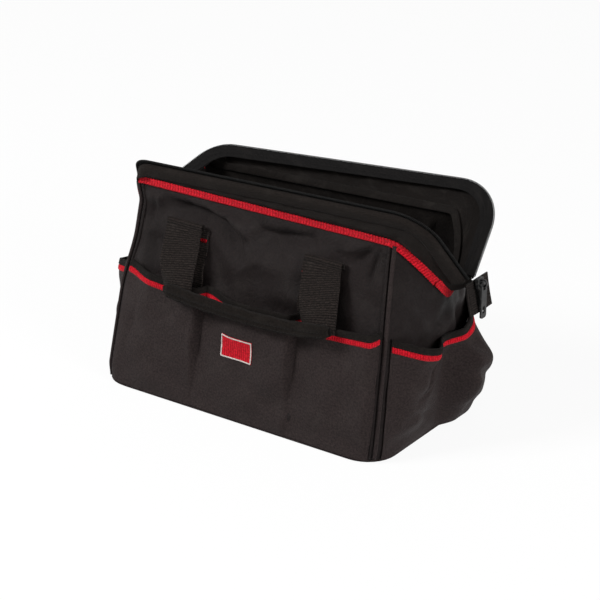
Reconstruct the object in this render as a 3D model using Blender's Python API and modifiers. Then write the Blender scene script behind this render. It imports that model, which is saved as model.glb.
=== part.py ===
"""A soft tool bag: padded fabric body, outer pockets, a wire-framed zip mouth and two webbing handles.

Metres, +Z up. The front faces -Y and the zip's tail hangs at the +X end. The origin is the middle of the
underside of the base. Side -1 is the front and +1 the back; end +1 is the tail's end and -1 the other.
"""

import bisect
import itertools
import math

import bmesh
import bpy
from mathutils import Vector

# Body and base
bag_length = 0.300
bag_depth = 0.175
base_corner_radius = 0.018
base_thickness = 0.0025
board_thickness = 0.002
board_margin = 0.004
wall_thickness = 0.0014
wall_inset = 0.0024
long_wall_bulge = 0.003
end_wall_bulge = 0.002
seat_gap = 0.0003

# Red seam round the top of the body, which dips to a point at each end
seam_inset_right = 0.014
seam_inset_left = 0.018
seam_inset_front = 0.0435
seam_inset_back = 0.0375
seam_rise_front_right = 0.038
seam_rise_front_left = 0.039
seam_rise_back_right = 0.034
seam_rise_back_left = 0.026
seam_tape_radius = 0.002
seam_dip_overhang = 0.004
seam_dip_inset = 0.004
seam_dip_drop_right = 0.019
seam_dip_drop_left = 0.023
seam_dip_height_power_share = 1.25
seam_dip_reach_power_share = 2.0

# Mouth: two flat wire frames that turn about one line through the two dips
mouth_overhang_right = 0.035
mouth_overhang_left = 0.015
mouth_height_right = 0.149
mouth_height_left = 0.145
frame_height_front_right = 0.0945
frame_height_front_left = 0.073
frame_height_back_right = 0.0935
frame_height_back_left = 0.070
frame_lean_front_right = 0.010
frame_lean_front_left = 0.032
frame_lean_back_right = 0.010
frame_lean_back_left = 0.044
frame_radius_front_right = 0.028
frame_radius_front_left = 0.022
frame_radius_back_right = 0.042
frame_radius_back_left = 0.040
front_open_degrees = 38.5
back_open_degrees = 48.0
frame_end_clear = 0.020
saddle_end_clear = 0.0165
seam_end_clear = 0.003
band_thickness = 0.0014
band_bulge_share = 0.06
band_edge_gap = 0.001
wire_radius = 0.0014
wire_clear = 0.0007
hem_thickness = 0.001
hem_gap_degrees = 15.0
tape_thickness = 0.0007
tape_width = 0.0095
chain_radius = 0.0013

# Corner piping
piping_radius = 0.0024
piping_stand = 0.0015
piping_end_clear = 0.004
wall_edge_inset = 0.002

# Outer pockets
pocket_thickness = 0.0014
pocket_edge_inset = 0.0055
long_pocket_height = 0.108
end_pocket_height = 0.106
long_pocket_sag = 0.008
end_pocket_sag = 0.013
long_pocket_depth = 0.014
end_pocket_depth = 0.017
long_pocket_cell_count = 3
end_pocket_cell_count = 2
pocket_columns_per_cell = 6
pocket_lobe_power_share = 0.75
pocket_rise_power_share = 0.85
pocket_seam_gap = 0.0006
pocket_level_shares = (0, 0.3, 0.6, 0.85, 1)
hem_tape_height = 0.007
hem_tape_thickness = 0.0009
red_tape_height = 0.005
label_width = 0.030
label_height = 0.020
label_drop = 0.032
label_thickness = 0.0006

# Webbing handles
webbing_width = 0.038
webbing_thickness = 0.0016
strap_spacing = 0.146
fold_drop = 0.013
fold_radius = 0.0022
anchor_drop = 0.066
strap_turn_drop = 0.037
grip_drop = 0.0545
grip_half_length = 0.046
grip_width = 0.016
grip_thickness = 0.007
grip_clear = 0.0016
fold_turn_degrees = (15, 50, 90, 130, 165)
strap_drop_shares = (0.25, 0.55, 0.85)
strap_turn_shares = (0.2, 0.4, 0.6, 0.8, 1)
grip_reach_shares = (0.6, 0.3, 0)

# Zip tail, slider and pull
tail_width = 0.024
tail_length = 0.028
tail_thickness = 0.0012
tail_rise = 0.002
tail_shift = 0.006
tail_hang_degrees = 8.0
tail_chain_width = 0.005
tail_chain_thickness = 0.0016
tail_chain_margin = 0.001
slider_length = 0.009
slider_width = 0.0085
slider_thickness = 0.004
slider_rise = 0.002
slider_edge = 0.0005
bail_radius = 0.003
bail_wire_radius = 0.0008
bail_stand = 0.0021
pull_width = 0.0082
pull_length = 0.032
pull_thickness = 0.0016
pull_top_strip = 0.0018
pull_slot_half_width = 0.0019
pull_slot_depth = 0.0049
pull_hole_length = 0.007
pull_hole_half_width = 0.0016
pull_hole_margin = 0.004
pull_hole_round_share = 0.99
pull_corner_radius = 0.002

# How finely the curves are divided
corner_steps = 4
wall_columns = 14
wall_levels = 5
leg_steps = 6
top_steps = 22
fillet_steps = 6
hem_steps = 8

FABRIC = ("body_fabric", (0.034, 0.030, 0.031), 0.85, 0.0)
LINING = ("lining_fabric", (0.020, 0.019, 0.020), 0.9, 0.0)
WEBBING = ("webbing", (0.024, 0.023, 0.022), 0.8, 0.0)
RED = ("red_tape", (0.52, 0.022, 0.040), 0.6, 0.0)
STEEL = ("steel_wire", (0.55, 0.55, 0.56), 0.35, 1.0)
ZIP = ("zip_black", (0.018, 0.018, 0.019), 0.5, 0.0)
GUNMETAL = ("gunmetal", (0.10, 0.10, 0.105), 0.4, 1.0)
BOARD = ("stiff_board", (0.05, 0.048, 0.045), 0.8, 0.0)


SIDE_NAMES = {-1: "front", 1: "back"}
END_NAMES = {-1: "left", 1: "right"}

# The sizes above by place, and those that follow from them
mouth_reach = {"right": bag_length / 2 + mouth_overhang_right, "left": bag_length / 2 + mouth_overhang_left}
mouth_height = {"right": mouth_height_right, "left": mouth_height_left}
seam_half_length = {"right": bag_length / 2 - seam_inset_right, "left": bag_length / 2 - seam_inset_left}
seam_half_depth = {"front": bag_depth / 2 - seam_inset_front, "back": bag_depth / 2 - seam_inset_back}
seam_height = {
    "front_right": mouth_height_right + seam_rise_front_right,
    "front_left": mouth_height_left + seam_rise_front_left,
    "back_right": mouth_height_right + seam_rise_back_right,
    "back_left": mouth_height_left + seam_rise_back_left,
}
seam_dip_reach = {"right": bag_length / 2 + seam_dip_overhang, "left": bag_length / 2 - seam_dip_inset}
seam_dip_height = {
    "right": mouth_height_right - seam_dip_drop_right,
    "left": mouth_height_left - seam_dip_drop_left,
}
frame_height = {
    "front_right": frame_height_front_right,
    "front_left": frame_height_front_left,
    "back_right": frame_height_back_right,
    "back_left": frame_height_back_left,
}
frame_lean = {
    "front_right": frame_lean_front_right,
    "front_left": frame_lean_front_left,
    "back_right": frame_lean_back_right,
    "back_left": frame_lean_back_left,
}
frame_corner_radius = {
    "front_right": frame_radius_front_right,
    "front_left": frame_radius_front_left,
    "back_right": frame_radius_back_right,
    "back_left": frame_radius_back_left,
}
frame_open_degrees = {"front": front_open_degrees, "back": back_open_degrees}
pocket_height = {"long": long_pocket_height, "end": end_pocket_height}
pocket_sag = {"long": long_pocket_sag, "end": end_pocket_sag}
pocket_depth = {"long": long_pocket_depth, "end": end_pocket_depth}
pocket_cell_count = {"long": long_pocket_cell_count, "end": end_pocket_cell_count}
fold_height = min(seam_height.values()) - fold_drop
strap_turn_height = fold_height - strap_turn_drop
grip_height = fold_height - grip_drop
anchor_foot_height = fold_height - anchor_drop


def corner_name(side, end):
    return f"{SIDE_NAMES[side]}_{END_NAMES[end]}"


class Path:
    """A polyline that is read by the share of its length."""

    def __init__(self, points):
        self.points = points
        self.reached = [0]
        for first, second in zip(points, points[1:]):
            self.reached.append(self.reached[-1] + (second - first).length)
        self.length = self.reached[-1]

    def at(self, share):
        distance = min(max(share, 0), 1) * self.length
        index = min(bisect.bisect_right(self.reached, distance), len(self.points) - 1)
        low, high = self.reached[index - 1], self.reached[index]
        part = (distance - low) / (high - low)
        return self.points[index - 1].lerp(self.points[index], part)

    def along(self, share):
        """The direction of the path at this share."""
        step = 0.01
        return (self.at(share + step) - self.at(share - step)).normalized()

    def spread(self, count, trim=0):
        """count + 1 points at equal distances, leaving trim off each end."""
        cut = trim / self.length
        return [self.at(cut + (1 - 2 * cut) * i / count) for i in range(count + 1)]


def joined(paths, counts):
    """The points of paths that follow each other, as one list."""
    points = [paths[0].at(0)]
    for path, count in zip(paths, counts):
        points += path.spread(count)[1:]
    return points


def moved_across(points, toward, distance):
    """Points moved by distance toward a direction, square to their own line."""
    path = Path(points)
    moved = []
    for place, point in zip(path.reached, points):
        line = path.along(place / path.length)
        across = toward - line * toward.dot(line)
        moved.append(point + across.normalized() * distance)
    return moved


def arc(centre, radius, start, end, steps):
    """Points of a level arc, with its angles in degrees."""
    angles = [math.radians(start + (end - start) * i / steps) for i in range(steps + 1)]
    return [centre + Vector((math.cos(a), math.sin(a), 0)) * radius for a in angles]


# Shapes that the sub-parts share


def link(obj, material, pivot=None):
    """Gives the object its material and collection, and hangs it on its pivot."""
    name, colour, roughness, metallic = material
    made = bpy.data.materials.get(name) or bpy.data.materials.new(name)
    made.use_nodes = True
    shader = made.node_tree.nodes["Principled BSDF"]
    shader.inputs["Base Color"].default_value = (*colour, 1)
    shader.inputs["Roughness"].default_value = roughness
    shader.inputs["Metallic"].default_value = metallic
    obj.data.materials.append(made)
    bag.objects.link(obj)
    if pivot:
        obj.parent = pivot
        obj.matrix_parent_inverse = pivot.matrix_world.inverted()
    return obj


def grid_mesh(name, rows):
    """An open sheet of quads through rows of points."""
    work = bmesh.new()
    made = [[work.verts.new(point) for point in row] for row in rows]
    for low, high in zip(made, made[1:]):
        for i in range(len(low) - 1):
            work.faces.new((low[i], low[i + 1], high[i + 1], high[i]))
    mesh = bpy.data.meshes.new(name)
    work.to_mesh(mesh)
    work.free()
    mesh.shade_smooth()
    return mesh


def sheet(name, rows, thickness, material, pivot=None, grow=0, even=True):
    """A sheet with thickness; grow -1 thickens it against its faces' normals, 1 along them, 0 both ways."""
    obj = bpy.data.objects.new(name, grid_mesh(name, rows))
    solid = obj.modifiers.new("Thickness", "SOLIDIFY")
    solid.thickness = thickness
    solid.offset = grow
    solid.use_even_offset = even
    return link(obj, material, pivot)


def tube(name, points, radius, material, pivot=None, sides=1):
    """A round tube along a poly line."""
    curve = bpy.data.curves.new(name, "CURVE")
    curve.dimensions = "3D"
    curve.bevel_depth = radius
    curve.bevel_resolution = sides
    curve.use_fill_caps = True
    spline = curve.splines.new("POLY")
    spline.points.add(len(points) - 1)
    for slot, point in zip(spline.points, points):
        slot.co = (*point, 1)
    spline.use_smooth = True
    return link(bpy.data.objects.new(name, curve), material, pivot)


def flat_plate(name, outlines, thickness, material, pivot=None):
    """A flat plate from closed outlines in its own XY; inner outlines are holes."""
    curve = bpy.data.curves.new(name, "CURVE")
    curve.dimensions = "2D"
    curve.fill_mode = "BOTH"
    curve.extrude = thickness / 2
    for outline in outlines:
        spline = curve.splines.new("POLY")
        spline.points.add(len(outline) - 1)
        for slot, point in zip(spline.points, outline):
            slot.co = Vector((point[0], point[1], 0)).to_4d()
        spline.use_cyclic_u = True
    return link(bpy.data.objects.new(name, curve), material, pivot)


def slab(name, size, centre, turn, material, pivot=None, edge=0):
    """A box turned about Y, with its edges rounded."""
    work = bmesh.new()
    shares = itertools.product((-0.5, 0.5), repeat=3)
    corners = [work.verts.new([side * share for side, share in zip(size, place)]) for place in shares]
    for face in ((0, 1, 3, 2), (4, 6, 7, 5), (0, 4, 5, 1), (2, 3, 7, 6), (0, 2, 6, 4), (1, 5, 7, 3)):
        work.faces.new([corners[i] for i in face])
    mesh = bpy.data.meshes.new(name)
    work.to_mesh(mesh)
    work.free()
    obj = bpy.data.objects.new(name, mesh)
    obj.location = centre
    obj.rotation_euler = (0, turn, 0)
    if edge:
        bevel = obj.modifiers.new("Edges", "BEVEL")
        bevel.width = edge
        bevel.segments = 2
    return link(obj, material, pivot)


def pivot_at(name, place):
    empty = bpy.data.objects.new(name, None)
    empty.location = place
    bag.objects.link(empty)
    bpy.context.view_layer.update()
    return empty


# Body walls


def rounded_rectangle(half_length, half_depth, radius, steps):
    """The outline of a rectangle with round corners, from the front left corner round to the left end."""
    outline = []
    for start, along, across in ((180, -1, -1), (270, 1, -1), (0, 1, 1), (90, -1, 1)):
        centre = Vector((along * (half_length - radius), across * (half_depth - radius), 0))
        outline += arc(centre, radius, start, start + 90, steps)
    return outline


def long_foot(side):
    """Where a long wall stands, from the left corner to the right one."""
    radius = base_corner_radius - wall_inset
    along = bag_length / 2 - wall_inset - radius
    across = side * (bag_depth / 2 - wall_inset - radius)
    rise = Vector((0, 0, base_thickness + seat_gap))
    left = arc(Vector((-along, across, 0)) + rise, radius, side * 135, side * 90, corner_steps)
    right = arc(Vector((along, across, 0)) + rise, radius, side * 90, side * 45, corner_steps)
    return left + right


def end_foot(end):
    """Where an end wall stands, from the front corner to the back one."""
    radius = base_corner_radius - wall_inset
    along = end * (bag_length / 2 - wall_inset - radius)
    across = bag_depth / 2 - wall_inset - radius
    rise = Vector((0, 0, base_thickness + seat_gap))
    front = arc(Vector((along, -across, 0)) + rise, radius, -90 + end * 45, -90 + end * 90, corner_steps)
    back = arc(Vector((along, across, 0)) + rise, radius, 90 - end * 90, 90 - end * 45, corner_steps)
    return front + back


def dip_point(end, share):
    """The red seam at an end: share -1 is the front corner, 0 the dip and 1 the back corner."""
    side = -1 if share < 0 else 1
    name = END_NAMES[end]
    reach, height = seam_dip_reach[name], seam_dip_height[name]
    rise = abs(share) ** seam_dip_height_power_share
    draw = abs(share) ** seam_dip_reach_power_share
    return Vector(
        (
            end * (reach + (seam_half_length[name] - reach) * draw),
            share * seam_half_depth[SIDE_NAMES[side]],
            height + (seam_height[corner_name(side, end)] - height) * rise,
        )
    )


def seam_corner(side, end):
    along = end * seam_half_length[END_NAMES[end]]
    return Vector((along, side * seam_half_depth[SIDE_NAMES[side]], seam_height[corner_name(side, end)]))


def seam_line(side):
    """The straight run of the red seam, from the left corner to the right one."""
    return [seam_corner(side, -1), seam_corner(side, 1)]


class Halves:
    """Two paths that meet, each read over half of the shares."""

    def __init__(self, first, second):
        self.halves = (first, second)

    def at(self, share):
        return self.halves[0].at(2 * share) if share < 0.5 else self.halves[1].at(2 * share - 1)


class Wall:
    """A wall stretched between its foot on the base and its top under the red seam."""

    def __init__(self, foot, top, outward, bulge):
        self.foot = Path(foot)
        lowered = moved_across(top, Vector((0, 0, -1)), seam_tape_radius + seat_gap)
        front, back = -seam_half_depth["front"] - seat_gap, seam_half_depth["back"] + seat_gap
        kept = [point for point in lowered if front < point.y < back]
        if outward.x:
            dip = min(range(len(kept)), key=lambda index: kept[index].z)
            self.top = Halves(Path(kept[: dip + 1]), Path(kept[dip:]))
        else:
            self.top = Path(kept)
        self.outward = outward
        self.bulge = bulge

    def out(self, share):
        """The level direction out of the wall."""
        line = self.foot.along(share)
        across = Vector((line.y, -line.x, 0))
        return across if across.dot(self.outward) > 0 else -across

    def point(self, share, level, off=0):
        low, high = self.foot.at(share), self.top.at(share)
        swell = self.bulge * 4 * level * (1 - level) * (1 - (2 * share - 1) ** 2)
        return low.lerp(high, level) + self.out(share) * (swell + off)

    def level_at(self, share, height):
        low, high = self.foot.at(share).z, self.top.at(share).z
        return (height - low) / (high - low)

    def edge_share(self, inset):
        return inset / self.foot.length


def make_walls():
    walls = {}
    for side, name in SIDE_NAMES.items():
        walls[name] = Wall(long_foot(side), seam_line(side), Vector((0, side, 0)), long_wall_bulge)
    dips = [i / (2 * leg_steps) for i in range(-2 * leg_steps, 2 * leg_steps + 1)]
    for end, name in END_NAMES.items():
        top = [dip_point(end, share) for share in dips]
        walls[name] = Wall(end_foot(end), top, Vector((end, 0, 0)), end_wall_bulge)
    return walls


def grow_outward(rows, outward):
    """1 if the faces through these rows face outward, and -1 if they face inward."""
    middle = len(rows[0]) // 2
    across = rows[0][middle + 1] - rows[0][middle]
    up = rows[1][middle] - rows[0][middle]
    return 1 if across.cross(up).dot(outward) > 0 else -1


def body_walls(walls):
    """The four padded walls, thickened inwards from their outer faces."""
    for key, wall in walls.items():
        name = f"{key}_panel" if wall.outward.y else f"{key}_end_panel"
        edge = wall.edge_share(wall_edge_inset)
        shares = [edge + (1 - 2 * edge) * i / wall_columns for i in range(wall_columns + 1)]
        levels = [level / wall_levels for level in range(wall_levels + 1)]
        rows = [[wall.point(share, level) for share in shares] for level in levels]
        sheet(name, rows, wall_thickness, FABRIC, grow=-grow_outward(rows, wall.outward))


def base():
    outline = rounded_rectangle(bag_length / 2, bag_depth / 2, base_corner_radius, 2 * corner_steps)
    panel = flat_plate("base_panel", [outline], base_thickness, FABRIC)
    panel.location = (0, 0, base_thickness / 2)
    inset = wall_inset + wall_thickness + board_margin
    outline = rounded_rectangle(
        bag_length / 2 - inset, bag_depth / 2 - inset, base_corner_radius - inset, 2 * corner_steps
    )
    board = flat_plate("base_board", [outline], board_thickness, BOARD)
    board.location = (0, 0, base_thickness + seat_gap + board_thickness / 2)


def corner_piping(walls):
    """A piping tube down each upright corner, just outside the edges of the two walls."""
    for side, side_name in SIDE_NAMES.items():
        for end, end_name in END_NAMES.items():
            foot = walls[side_name].foot.at(0 if end < 0 else 1)
            top = seam_corner(side, end)
            outward = Vector((end, side, 0)).normalized() * piping_stand
            line = top - foot
            start = foot + line.normalized() * piping_end_clear + outward
            stop = top - line.normalized() * (piping_end_clear + seam_tape_radius) + outward
            points = Path([start, stop]).spread(wall_levels)
            tube(f"piping_{side_name}_{end_name}", points, piping_radius, FABRIC, sides=2)


# Outer pockets


class Pocket:
    """A gathered pocket on a wall: its cells bulge out between upright seams."""

    def __init__(self, wall, kind):
        self.wall = wall
        self.kind = kind
        self.cells = pocket_cell_count[kind]
        self.columns = self.cells * pocket_columns_per_cell

    def share(self, place):
        """The wall's share for a place from 0 to 1 along the pocket."""
        edge = self.wall.edge_share(pocket_edge_inset)
        return edge + (1 - 2 * edge) * place

    def top_height(self, place):
        return pocket_height[self.kind] - pocket_sag[self.kind] * (1 - (2 * place - 1) ** 2)

    def lobe(self, place):
        return abs(math.sin(math.pi * self.cells * place)) ** pocket_lobe_power_share

    def face(self, place, height):
        """A point of the pocket's inner face at this height."""
        share = self.share(place)
        rise = max(height / self.top_height(place), 0) ** pocket_rise_power_share
        stand = pocket_seam_gap + pocket_depth[self.kind] * self.lobe(place) * rise
        return self.wall.point(share, self.wall.level_at(share, height), stand)

    def point(self, place, height, off=0):
        """A point off the pocket's inner face, measured square to it."""
        step = 1 / self.columns
        low, high = max(place - step, 0), min(place + step, 1)
        across = self.face(high, height) - self.face(low, height)
        up = self.face(place, height) - self.face(place, height - hem_tape_height)
        normal = across.cross(up).normalized()
        if normal.dot(self.wall.out(self.share(place))) < 0:
            normal = -normal
        return self.face(place, height) + normal * off

    def strip(self, low_drop, high_drop, off):
        """Rows of points along the pocket between two distances below its top edge."""
        places = [i / self.columns for i in range(self.columns + 1)]
        drops = (low_drop, high_drop)
        return [[self.point(p, self.top_height(p) - drop, off) for p in places] for drop in drops]


def pocket_parts(name, pocket):
    """The pocket's fabric, the black tape over its top edge and the red tape under that."""
    outward = pocket.wall.outward
    floor = base_thickness + seat_gap
    places = [i / pocket.columns for i in range(pocket.columns + 1)]
    rows = []
    for level in pocket_level_shares:
        rows.append([pocket.point(p, floor + (pocket.top_height(p) - floor) * level) for p in places])
    grow = grow_outward(rows, outward)
    sheet(f"{name}_pocket", rows, pocket_thickness, FABRIC, grow=grow)
    off = pocket_thickness + 2 * seat_gap
    hem = pocket.strip(hem_tape_height, 0, off)
    sheet(f"{name}_pocket_hem", hem, hem_tape_thickness, LINING, grow=grow)
    red = pocket.strip(hem_tape_height + seat_gap + red_tape_height, hem_tape_height + seat_gap, off)
    sheet(f"{name}_pocket_red_tape", red, hem_tape_thickness, RED, grow=grow)


def label(pocket):
    """A plain woven label on the front pocket's middle cell."""
    half = label_width / 2 / pocket.wall.foot.length
    places = [0.5 - half + 2 * half * i / pocket_columns_per_cell for i in range(pocket_columns_per_cell + 1)]
    off = pocket_thickness + seat_gap
    middle = pocket.top_height(0.5) - label_drop
    heights = [middle + label_height * share for share in (-0.5, 0, 0.5)]
    rows = [[pocket.point(place, height, off) for place in places] for height in heights]
    sheet("label_patch", rows, label_thickness, RED, grow=grow_outward(rows, pocket.wall.outward))


# Mouth


mouth_left = Vector((-mouth_reach["left"], 0, mouth_height["left"]))
mouth_right = Vector((mouth_reach["right"], 0, mouth_height["right"]))
mouth_line = (mouth_right - mouth_left).normalized()
mouth_up = Vector((-mouth_line.z, 0, mouth_line.x))
mouth_length = (mouth_right - mouth_left).length


class Jaw:
    """One half of the mouth: a flat wire frame, opened outwards about the line through the two dips."""

    def __init__(self, side):
        angle = math.radians(frame_open_degrees[SIDE_NAMES[side]])
        self.side = side
        self.rise = Vector((0, side * math.sin(angle), 0)) + mouth_up * math.cos(angle)
        self.out = Vector((0, side * math.cos(angle), 0)) - mouth_up * math.sin(angle)

    def place(self, along, height, lift):
        """A point of the frame: along the line, up the frame and off its inner face."""
        return mouth_left + mouth_line * along + self.rise * height + self.out * lift

    def frame_paths(self, inset, lift, end_clear=frame_end_clear):
        """The frame's left leg, top and right leg, inset towards the line and lifted off the inner face."""
        low_left = (inset, 0)
        low_right = (mouth_length - inset, 0)
        left_corner, right_corner = corner_name(self.side, -1), corner_name(self.side, 1)
        high_left = (frame_lean[left_corner] + inset, frame_height[left_corner] - inset)
        high_right = (mouth_length - frame_lean[right_corner] - inset, frame_height[right_corner] - inset)
        left = self.corner(low_left, high_left, high_right, frame_corner_radius[left_corner] - inset)
        right = self.corner(high_left, high_right, low_right, frame_corner_radius[right_corner] - inset)
        half = fillet_steps // 2
        legs = (
            [self.leg_end(low_left, high_left, end_clear), *left[: half + 1]],
            [*left[half:], *right[: half + 1]],
            [*right[half:], self.leg_end(low_right, high_right, end_clear)],
        )
        return [Path([self.place(*flat, lift) for flat in leg]) for leg in legs]

    def leg_end(self, low, high, end_clear):
        share = end_clear / high[1]
        return (low[0] + (high[0] - low[0]) * share, end_clear)

    def corner(self, before, corner, after, radius):
        """A round corner between two straight runs, in the frame's own plane."""
        corner = Vector(corner)
        back, on = (Vector(before) - corner).normalized(), (Vector(after) - corner).normalized()
        half = back.angle(on) / 2
        centre = corner + (back + on).normalized() * radius / math.sin(half)
        start = corner + back * radius / math.tan(half) - centre
        stop = corner + on * radius / math.tan(half) - centre
        points = []
        for i in range(fillet_steps + 1):
            ray = start.lerp(stop, i / fillet_steps).normalized() * radius
            points.append(tuple(centre + ray))
        return points

    def frame_line(self, inset, lift):
        return joined(self.frame_paths(inset, lift), (leg_steps, top_steps, leg_steps))

    def seam_paths(self):
        """The red seam's left leg, long run and right leg, where the seam is above the mouth's line."""
        legs = {}
        for end in (-1, 1):
            steps = [i / (4 * leg_steps) for i in range(4 * leg_steps, 0, -1)]
            points = [dip_point(end, self.side * share) for share in steps]
            legs[end] = [p for p in points if (p - mouth_left).dot(mouth_up) > seam_end_clear]
        return [Path(legs[-1][::-1]), Path(seam_line(self.side)), Path(legs[1])]

    def seam_points(self):
        return joined(self.seam_paths(), (leg_steps, top_steps, leg_steps))


hem_radius = wire_radius + wire_clear
hem_inset = 2 * chain_radius + seat_gap + hem_radius + hem_thickness
hem_lift = tape_thickness + 2 * seat_gap + hem_thickness + hem_radius


def ways_between(starts, stops):
    """Directions from the points of one line to those of another, mitred so that they clear both its runs."""
    runs = [(b - a).normalized() for a, b in zip(starts, starts[1:])]
    ways = []
    for index, (start, stop) in enumerate(zip(starts, stops)):
        near = runs[max(index - 1, 0) : index + 1]
        way = Vector()
        for run in near:
            way += (stop - start - run * (stop - start).dot(run)).normalized()
        ways.append(way / min(way.cross(run).length for run in near))
    return ways


def band(name, jaw, pivot):
    """The fabric band between the red seam and the frame's hem."""
    seam, wire = jaw.seam_points(), jaw.frame_line(hem_inset, hem_lift)
    low_clear = seam_tape_radius + band_edge_gap
    half_step = math.radians((180 - hem_gap_degrees) / hem_steps)
    high_clear = (hem_radius + hem_thickness) / math.cos(half_step) + seat_gap
    low = [a + way * low_clear for a, way in zip(seam, ways_between(seam, wire))]
    high = [b + way * high_clear for b, way in zip(wire, ways_between(wire, seam))]
    middle = [a.lerp(b, 0.5) + jaw.out * (b - a).length * band_bulge_share for a, b in zip(low, high)]
    sheet(name, [low, middle, high], band_thickness, FABRIC, pivot, even=False)


def hem(name, jaw, pivot):
    """A fabric channel round the wire, open towards the band."""
    wire = jaw.frame_line(hem_inset, hem_lift)
    ways = ways_between(wire, jaw.seam_points())
    path = Path(wire)
    radius = hem_radius + hem_thickness / 2
    rows = []
    for step in range(hem_steps + 1):
        turn = math.radians(hem_gap_degrees + (360 - 2 * hem_gap_degrees) * step / hem_steps)
        row = []
        for place, point, way in zip(path.reached, wire, ways):
            across = way.cross(path.along(place / path.length))
            row.append(point + (way * math.cos(turn) + across * math.sin(turn)) * radius)
        rows.append(row)
    sheet(name, rows, hem_thickness, LINING, pivot)


def jaw_parts(side, name, pivot):
    jaw = Jaw(side)
    band(f"{name}_band", jaw, pivot)
    tube(f"{name}_seam_tape", jaw.seam_points(), seam_tape_radius, RED, pivot)
    tube(f"{name}_frame_wire", jaw.frame_line(hem_inset, hem_lift), wire_radius, STEEL, pivot)
    hem(f"{name}_frame_hem", jaw, pivot)
    edge = 2 * chain_radius + seat_gap
    lift = seat_gap + tape_thickness / 2
    rows = [jaw.frame_line(edge, lift), jaw.frame_line(edge + tape_width, lift)]
    sheet(f"{name}_zip_tape", rows, tape_thickness, ZIP, pivot)
    tube(f"{name}_zip_chain", jaw.frame_line(chain_radius, chain_radius + seat_gap), chain_radius, ZIP, pivot)


def mouth_saddle(end, name):
    """The fixed fabric at a dip, between the two frames' legs, and the red tape along its lower edge."""
    steps = [i / (4 * leg_steps) for i in range(-4 * leg_steps, 4 * leg_steps + 1)]
    points = [dip_point(end, share) for share in steps]
    seam = Path([p for p in points if (p - mouth_left).dot(mouth_up) < -seam_end_clear])
    low_end = mouth_right if end > 0 else mouth_left
    legs = []
    for side in (-1, 1):
        paths = Jaw(side).frame_paths(0, hem_lift, saddle_end_clear)
        legs.append(paths[2].at(1) if end > 0 else paths[0].at(0))
    rim = Path([legs[0], low_end, legs[1]])
    low, high = seam.spread(leg_steps), rim.spread(leg_steps)
    clear = seam_tape_radius + seat_gap
    low = [a + (b - a).normalized() * clear for a, b in zip(low, high)]
    sheet(f"{name}_mouth_saddle", [low, high], band_thickness, FABRIC)
    tube(f"{name}_seam_dip", seam.spread(leg_steps), seam_tape_radius, RED)


# Handles


def fold_centre(walls, side):
    """The height and distance from the middle of the line that a handle's straps fold over."""
    wall = walls["front" if side < 0 else "back"]
    share = 0.5 + strap_spacing / 2 / wall.foot.length
    face = abs(wall.point(share, wall.level_at(share, fold_height)).y)
    return face + seat_gap + webbing_thickness / 2 + fold_radius


def anchors(walls, side, name):
    """The sewn ends of a handle's webbing, flat on the wall and running down behind the pocket."""
    wall = walls[name]
    top = fold_height - fold_radius - webbing_thickness / 2 - 2 * seat_gap
    for end, end_name in END_NAMES.items():
        middle = 0.5 + end * strap_spacing / 2 / wall.foot.length
        half = webbing_width / 2 / wall.foot.length
        rows = []
        for step in range(wall_levels + 1):
            height = anchor_foot_height + (top - anchor_foot_height) * step / wall_levels
            shares = (middle - half, middle, middle + half)
            rows.append([wall.point(share, wall.level_at(share, height), seat_gap) for share in shares])
        grow = grow_outward(rows, wall.outward)
        sheet(f"{name}_{end_name}_anchor", rows, webbing_thickness, WEBBING, grow=grow)


def handle_rows(side, fold_depth, grip_depth):
    """Sections of half the handle from the fold to the middle: a centre, a half width and a half thickness."""
    strap = strap_spacing / 2
    rows = []
    across = Vector((webbing_width / 2, 0, 0))
    thick = webbing_thickness / 2
    for turn in fold_turn_degrees:
        ray = Vector((0, -side * math.cos(math.radians(turn)), math.sin(math.radians(turn))))
        centre = Vector((strap, side * fold_depth, fold_height)) + ray * fold_radius
        rows.append((centre, across, ray * thick))
    front = side * (fold_depth + fold_radius)
    outward = Vector((0, side, 0))
    for share in strap_drop_shares:
        height = fold_height + (strap_turn_height - fold_height) * share
        depth = front + (side * grip_depth - front) * share
        rows.append((Vector((strap, depth, height)), across, outward * thick))
    turn_length = strap - grip_half_length
    turn_drop = strap_turn_height - grip_height
    for share in strap_turn_shares:
        angle = math.radians(90 * share)
        centre = Vector(
            (
                strap - turn_length * (1 - math.cos(angle)),
                side * grip_depth,
                strap_turn_height - turn_drop * math.sin(angle),
            )
        )
        half_width = (webbing_width + (grip_width - webbing_width) * share) / 2
        half_thick = (webbing_thickness + (grip_thickness - webbing_thickness) * share) / 2
        aim = Vector((math.cos(angle), 0, -math.sin(angle)))
        rows.append((centre, aim * half_width, outward * half_thick))
    for share in grip_reach_shares:
        centre = Vector((grip_half_length * share, side * grip_depth, grip_height))
        rows.append((centre, Vector((0, 0, -grip_width / 2)), outward * grip_thickness / 2))
    return rows


def grip_distance(pocket):
    """How far the grip lies from the middle plane, in front of the pocket's taped edge."""
    tape_stack = pocket_thickness + 2 * seat_gap + hem_tape_thickness
    edge = pocket.point(0.5, grip_height, tape_stack + grip_clear)
    return abs(edge.y) + grip_thickness / 2


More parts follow.
